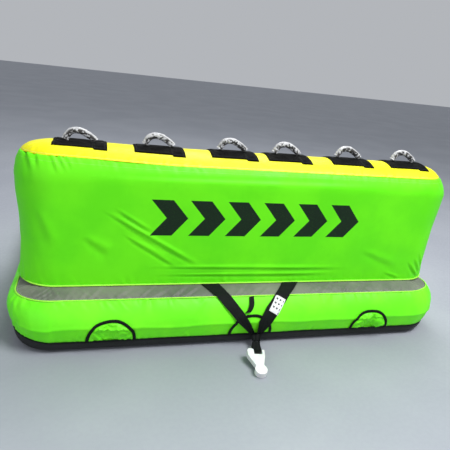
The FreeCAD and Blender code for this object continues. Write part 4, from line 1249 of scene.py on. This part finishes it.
def new_finish(name, roughness, **shader):
    mat = bpy.data.materials.new(name)
    mat.use_nodes = True
    tree = mat.node_tree
    bsdf = tree.nodes["Principled BSDF"]
    bsdf.inputs["Roughness"].default_value = roughness
    for key, value in shader.items():
        bsdf.inputs[key.replace("_", " ")].default_value = value
    return mat, tree, bsdf


def places(tree):
    n = tree.nodes.new("ShaderNodeTexCoord")
    return n.outputs["Object"], n.outputs["UV"]


def bump(tree, bsdf, *layers):
    """Each layer is a height and how deep it is in metres."""
    normal = None
    for height, depth in layers:
        n = tree.nodes.new("ShaderNodeBump")
        n.inputs["Strength"].default_value = 1.0
        n.inputs["Distance"].default_value = depth
        tree.links.new(height, n.inputs["Height"])
        if normal is not None:
            tree.links.new(normal, n.inputs["Normal"])
        normal = n.outputs[0]
    tree.links.new(normal, bsdf.inputs["Normal"])


def shine(tree, bsdf, value, low, high, least=0, most=1):
    """Roughness from low to high as a value goes from least to most."""
    tree.links.new(ramp(tree, value, least, most, low, high), bsdf.inputs["Roughness"])


def srgb(r, g, b):
    return tuple(((c / 255) / 12.92 if c <= 10 else ((c / 255 + 0.055) / 1.055) ** 2.4)
                 for c in (r, g, b)) + (1.0,)


def sew(tree, lines, pitch, colour, thread_colour, heights, depth):
    """Rows of stitches over a colour; each line is (along, across, place). Their heights
    go on the end of the list."""
    for along, across, line in lines:
        mask = use(tree, STITCH, Along=along, Across=across, Line=line, Pitch=pitch)["Mask"]
        colour = blend_colours(tree, mask, colour, thread_colour)
        heights.append((mask, depth))
    return colour


def cover_finish(name, light, deep, roughness, thread, crease, seams, stitch, print_colour=None, **shader):
    mat, tree, bsdf = new_finish(name, roughness, **shader)
    spot, uv = places(tree)
    dye = use(tree, DYE, Vector=spot, Patch=5.0)
    colour = blend_colours(tree, dye["Broad"], deep, light)
    p = parts_of(tree, uv)
    colour = blend_colours(tree, sums(tree, "MULTIPLY", dye["Fine"], 0.10), colour, deep)
    if print_colour:
        ink = use(tree, CHEVRONS, Position=spot)["Mask"]
        worn = sums(tree, "MULTIPLY", ink, ramp(tree, dye["Fine"], 0.0, 0.25, 0.97, 1.0))
        colour = blend_colours(tree, worn, colour, print_colour)
    heights = [(use(tree, WEAVE, Vector=uv, Thread=thread)["Height"], 0.00006),
               (use(tree, CRINKLE, Vector=spot, Scale=4.0)["Height"], crease)]
    lines = [(p[0], p[1], line) for line in seams]
    colour = sew(tree, lines, 0.0045, colour, stitch, heights, 0.0004)
    tree.links.new(colour, bsdf.inputs["Base Color"])
    shine(tree, bsdf, dye["Broad"], roughness - 0.05, roughness + 0.06)
    bump(tree, bsdf, *heights)
    return mat


def webbing_finish(name, light, deep, roughness=0.62):
    mat, tree, bsdf = new_finish(name, roughness, Specular_IOR_Level=0.14)
    spot, uv = places(tree)
    rib = use(tree, RIB, Vector=uv)
    dye = use(tree, DYE, Vector=spot, Patch=22.0)
    colour = blend_colours(tree, rib["Height"], deep, light)
    colour = blend_colours(tree, sums(tree, "MULTIPLY", dye["Broad"], 0.35), colour, light)
    tree.links.new(colour, bsdf.inputs["Base Color"])
    shine(tree, bsdf, dye["Fine"], roughness - 0.08, roughness + 0.1)
    bump(tree, bsdf, (rib["Height"], 0.0005), (dye["Fine"], 0.0001))
    return mat


def moulded_finish(name, light, deep, roughness, grain=0.00012, **shader):
    mat, tree, bsdf = new_finish(name, roughness, **shader)
    spot, _ = places(tree)
    dye = use(tree, DYE, Vector=spot, Patch=24.0)
    tree.links.new(blend_colours(tree, dye["Broad"], deep, light), bsdf.inputs["Base Color"])
    shine(tree, bsdf, dye["Fine"], roughness - 0.06, roughness + 0.08)
    bump(tree, bsdf, (dye["Fine"], grain))
    return mat


def pad_finish():
    """Black pack cloth with a sewn border on each handle pad."""
    mat, tree, bsdf = new_finish("pad_black_cloth", 0.8, Specular_IOR_Level=0.08)
    spot, uv = places(tree)
    dye = use(tree, DYE, Vector=spot, Patch=30.0)
    weave = use(tree, WEAVE, Vector=uv, Thread=0.0016)["Height"]
    p = parts_of(tree, uv)
    colour = blend_colours(tree, dye["Broad"], srgb(6, 7, 7), srgb(15, 16, 15))
    heights = [(weave, 0.0003)]
    lines = [(p[0], p[1], line) for line in (0.0095, 0.1505)]
    lines += [(p[1], p[0], line) for line in (0.0095, 0.1955, 0.1500, 0.1560)]
    colour = sew(tree, lines, 0.005, colour, srgb(52, 54, 52), heights, 0.0004)
    tree.links.new(colour, bsdf.inputs["Base Color"])
    bump(tree, bsdf, *heights)
    return mat


def foam_finish():
    """Dark foam sheet pressed with a diamond of grooves, with painted shade darkening the grooves."""
    mat, tree, bsdf = new_finish("knee_foam", 0.78)
    spot, uv = places(tree)
    p = parts_of(tree, spot)
    grooves = None
    for sign in (1.0, -1.0):
        line = sums(tree, "MULTIPLY_ADD", p[1], sign, p[0])
        part = sums(tree, "FRACT", sums(tree, "DIVIDE", line, 0.034))
        edge = ramp(tree, sums(tree, "ABSOLUTE", sums(tree, "SUBTRACT", part, 0.5)), 0.0, 0.07)
        grooves = edge if grooves is None else sums(tree, "MINIMUM", grooves, edge)
    dye = use(tree, DYE, Vector=spot, Patch=14.0)
    # painted shade: the groove lines are coloured darker as if in shadow, on top of their bump
    colour = blend_colours(tree, grooves, srgb(30, 31, 33), blend_colours(
        tree, dye["Broad"], srgb(58, 60, 64), srgb(72, 75, 80)))
    tree.links.new(colour, bsdf.inputs["Base Color"])
    shine(tree, bsdf, dye["Fine"], 0.7, 0.86)
    bump(tree, bsdf, (grooves, 0.0016), (dye["Fine"], 0.0002))
    return mat


GRIP_MEAN = 0.0134          # mean radius of a sleeve, which its UVs are laid out on


def grip_finish():
    """Silver-grey sleeve cloth, with painted shade darkening the gathers on its lower inner side."""
    mat, tree, bsdf = new_finish("grip_sleeve_silver", 0.5, Sheen_Weight=0.3, Sheen_Roughness=0.4)
    spot, uv = places(tree)
    dye = use(tree, DYE, Vector=spot, Patch=60.0)
    weave = use(tree, WEAVE, Vector=uv, Thread=0.0011)["Height"]
    crease = use(tree, CRINKLE, Vector=spot, Scale=52.0)["Height"]
    colour = blend_colours(tree, dye["Broad"], srgb(186, 187, 188), srgb(214, 215, 215))
    # painted shade: creases on the sleeve's lower inner side are coloured dark as if in shadow
    turn = sums(tree, "DIVIDE", parts_of(tree, uv)[0], GRIP_MEAN)
    inner = sums(tree, "COSINE", sums(tree, "SUBTRACT", turn, math.radians(222)))
    shaded_side = ramp(tree, inner, 0.10, 0.75, 0.06, 1.0)
    painted_gather_shade = sums(tree, "MULTIPLY", shaded_side, ramp(tree, crease, 0.75, 0.25))
    colour = blend_colours(tree, painted_gather_shade, colour, srgb(52, 50, 48))
    tree.links.new(colour, bsdf.inputs["Base Color"])
    shine(tree, bsdf, dye["Fine"], 0.42, 0.6)
    bump(tree, bsdf, (weave, 0.0002), (crease, 0.0009))
    return mat


def label_finish():
    mat, tree, bsdf = new_finish("label_white_cloth", 0.6)
    spot, uv = places(tree)
    p = parts_of(tree, uv)
    weave = use(tree, WEAVE, Vector=uv, Thread=0.0009)["Height"]
    dye = use(tree, DYE, Vector=spot, Patch=40.0)
    colour = blend_colours(tree, dye["Broad"], srgb(232, 234, 234), srgb(250, 250, 250))
    heights = [(weave, 0.0001)]
    lines = [(p[0], p[1], line) for line in (0.004, 0.090)]
    lines += [(p[1], p[0], line) for line in (0.004, 0.041)]
    colour = sew(tree, lines, 0.004, colour, srgb(120, 122, 124), heights, 0.0003)
    inside = None
    for part, size, gap, low, high in ((p[0], 0.0150, 0.50, 0.007, 0.040),
                                       (p[1], 0.0240, 0.42, 0.012, 0.084)):
        cell = sums(tree, "FRACT", sums(tree, "DIVIDE", sums(tree, "SUBTRACT", part, low), size))
        here = sums(tree, "MULTIPLY", sums(tree, "LESS_THAN", cell, gap), sums(
            tree, "MULTIPLY", sums(tree, "GREATER_THAN", part, low), sums(tree, "LESS_THAN", part, high)))
        inside = here if inside is None else sums(tree, "MULTIPLY", inside, here)
    colour = blend_colours(tree, inside, colour, srgb(70, 74, 76))
    tree.links.new(colour, bsdf.inputs["Base Color"])
    bump(tree, bsdf, *heights)
    return mat


def metal_finish(name, colour, roughness):
    mat, tree, bsdf = new_finish(name, roughness, Metallic=1.0)
    spot, _ = places(tree)
    scratch = noise_of(tree, spot, 420.0, 5)
    tree.links.new(blend_colours(tree, scratch, colour, srgb(210, 212, 214)), bsdf.inputs["Base Color"])
    shine(tree, bsdf, scratch, roughness - 0.08, roughness + 0.14, 0.3, 0.7)
    bump(tree, bsdf, (scratch, 0.00005))
    return mat


def chamber_finish():
    mat, tree, bsdf = new_finish("chamber_clear_grey", 0.28, Coat_Weight=0.3, Coat_Roughness=0.2)
    spot, _ = places(tree)
    dye = use(tree, DYE, Vector=spot, Patch=9.0)
    crease = use(tree, CRINKLE, Vector=spot, Scale=9.0)["Height"]
    tree.links.new(blend_colours(tree, dye["Broad"], srgb(120, 126, 130), srgb(150, 156, 160)),
                   bsdf.inputs["Base Color"])
    bump(tree, bsdf, (crease, 0.0012))
    return mat


def profile_length(profile):
    """How far the cloth runs over a profile before it swells."""
    spots, outward, _ = plan_loop(1, 1, 0.2, (0.5,) * 4)
    return row_lengths(lift_rows(spots, outward, profile, (0, 0))[0])[-1]


SIDE_RISE = profile_length(base_side_profile(BOTTOM_SEAM, DECK_SEAM, 40))
WALL_RISE = profile_length(wall_profile(WALL_LOW[2], WALL_SEAM, 13))
SEWN_IN = 0.0065            # how far a row of stitches is from its seam

BASE_GREEN = cover_finish("base_lime_green", srgb(122, 250, 30), srgb(104, 240, 24), 0.52, 0.0009, 0.0006,
                          (SEWN_IN, SIDE_RISE - SEWN_IN), srgb(150, 235, 90), Specular_IOR_Level=0.3)
WALL_GREEN = cover_finish("wall_lime_green", srgb(108, 240, 8), srgb(96, 230, 4), 0.52, 0.0009, 0.0006,
                          (SEWN_IN, WALL_RISE - SEWN_IN), srgb(150, 235, 90), srgb(4, 32, 8),
                          Specular_IOR_Level=0.3)
WALL_YELLOW = cover_finish("wall_top_yellow", srgb(232, 226, 8), srgb(224, 221, 6), 0.48, 0.0009, 0.0006,
                           (SEWN_IN,), srgb(240, 245, 140), Specular_IOR_Level=0.3)
DECK_GREY = cover_finish("deck_grey", srgb(117, 123, 106), srgb(93, 99, 87), 0.6, 0.0012, 0.0010,
                         (SEWN_IN,), srgb(160, 168, 160), Sheen_Weight=0.15)
UNDERSIDE_BLACK = cover_finish("underside_black", srgb(18, 23, 22), srgb(9, 13, 12), 0.7, 0.0014, 0.0010,
                               (), srgb(60, 60, 60))
PIPING_LIME = webbing_finish("piping_lime", srgb(190, 255, 90), srgb(150, 250, 60), 0.5)
BINDING_BLACK = webbing_finish("binding_black", srgb(18, 24, 20), srgb(8, 11, 9), 0.6)
WEBBING_BLACK = webbing_finish("webbing_black", srgb(20, 25, 23), srgb(7, 10, 9), 0.64)
PAD_BLACK = pad_finish()
GRIP_SILVER = grip_finish()
LABEL_WHITE = label_finish()
KNEE_FOAM = foam_finish()
CHAMBER_PVC = chamber_finish()
CONNECTOR_WHITE = moulded_finish("connector_white_nylon", srgb(236, 237, 236), srgb(218, 220, 220), 0.38,
                                 Subsurface_Weight=0.08, Subsurface_Scale=0.004)
VALVE_GREY = moulded_finish("valve_grey_plastic", srgb(92, 95, 98), srgb(74, 77, 80), 0.42)
CAP_BLACK = moulded_finish("cap_black_plastic", srgb(30, 31, 33), srgb(20, 21, 22), 0.4)
ZIP_BLACK = moulded_finish("zip_black_plastic", srgb(34, 35, 37), srgb(22, 23, 24), 0.36)
PIN_STEEL = metal_finish("pin_steel", srgb(150, 153, 156), 0.3)
ZIP_STEEL = metal_finish("zip_steel", srgb(120, 122, 126), 0.36)


def dress(ob, body, finish):
    """Give a piece its finish and the body that it moves with."""
    ob.data.materials.clear()
    ob.data.materials.append(finish)
    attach(ob, body)


def dress_kept_nodes():
    """Finishes for the CAD nodes that show as they are."""
    kept = {"handle_anchors": WEBBING_BLACK, "base_valves": VALVE_GREY, "wall_valve": VALVE_GREY,
            "wall_valve_cap": CAP_BLACK, "connector_pin": PIN_STEEL, "harness_tails": WEBBING_BLACK,
            "zip_tape": BINDING_BLACK, "zip_slider": ZIP_STEEL, "zip_puller": ZIP_STEEL}
    kept.update({"base_valve_cap_" + s: CAP_BLACK for s in SIDES})
    kept.update({"handle_%d_core" % n: WEBBING_BLACK for n in range(1, 7)})
    for node, finish in kept.items():
        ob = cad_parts[node]
        for s in ob.material_slots:
            s.material = finish
        if not ob.material_slots:
            ob.data.materials.append(finish)


# ---- floor, light and camera ----
def stand():
    bpy.ops.mesh.primitive_grid_add(x_subdivisions=8, y_subdivisions=8, size=60)
    floor = bpy.context.object
    floor.name = "studio_floor"
    mat, tree, bsdf = new_finish("studio_floor_pale", 0.62)
    spot, _ = places(tree)
    dye = use(tree, DYE, Vector=spot, Patch=1.2)
    tree.links.new(blend_colours(tree, dye["Broad"], srgb(150, 154, 163), srgb(158, 162, 170)),
                   bsdf.inputs["Base Color"])
    shine(tree, bsdf, dye["Fine"], 0.5, 0.7)
    floor.data.materials.append(mat)


def lamp(name, where, aim, size, power, colour=(1, 1, 1)):
    data = bpy.data.lights.new(name, "AREA")
    data.shape, data.size, data.energy, data.color = "DISK", size, power, colour
    ob = bpy.data.objects.new(name, data)
    bpy.context.scene.collection.objects.link(ob)
    ob.location = where
    ob.rotation_euler = (Vector(aim) - Vector(where)).to_track_quat("-Z", "Y").to_euler()


def studio():
    world = bpy.data.worlds.new("studio_world")
    world.use_nodes = True
    world.node_tree.nodes["Background"].inputs[0].default_value = (0.82, 0.85, 0.90, 1)
    world.node_tree.nodes["Background"].inputs[1].default_value = 0.55
    bpy.context.scene.world = world
    lamp("key", (1.5, -2.3, 4.2), (0, -0.5, 0.3), 2.2, 205)
    lamp("fill", (-3.0, -3.6, 1.9), (-0.2, -0.4, 0.3), 2.4, 26)
    lamp("back", (0.8, 1.6, 4.0), (0, 0, 0.4), 2.6, 105)
    bpy.context.scene.view_settings.view_transform = "Standard"


def camera():
    yaw, pitch, roll = (math.radians(v) for v in (16.8, 19.1, -6.6))
    ahead = Vector((math.sin(yaw) * math.cos(pitch), math.cos(yaw) * math.cos(pitch), -math.sin(pitch)))
    level = Vector((math.cos(yaw), -math.sin(yaw), 0))
    down = ahead.cross(level)
    right = level * math.cos(roll) + down * math.sin(roll)
    down = down * math.cos(roll) - level * math.sin(roll)
    data = bpy.data.cameras.new("main_camera")
    data.lens, data.sensor_width = 36.4, 36.0
    ob = bpy.data.objects.new("main_camera", data)
    bpy.context.scene.collection.objects.link(ob)
    turn = Matrix((right, -down, -ahead)).transposed().to_4x4()
    ob.matrix_world = Matrix.Translation((-0.653, -2.40, 1.14)) @ turn
    bpy.context.scene.camera = ob


base_side_cover()
deck_cover()
underside()
wall_side_cover()
wall_top_cover()
bladders()
edging()
flaps()
for number, mid in enumerate(HANDLES, 1):
    handle_pad(number, mid)
    handle_grip(number, mid)
strap(-1, "left")
strap(1, "right")
strap_label()
yoke()
lead()
connector()
tether()
kneeling_pads()
zip_teeth()
dress_kept_nodes()
stand()
studio()
camera()
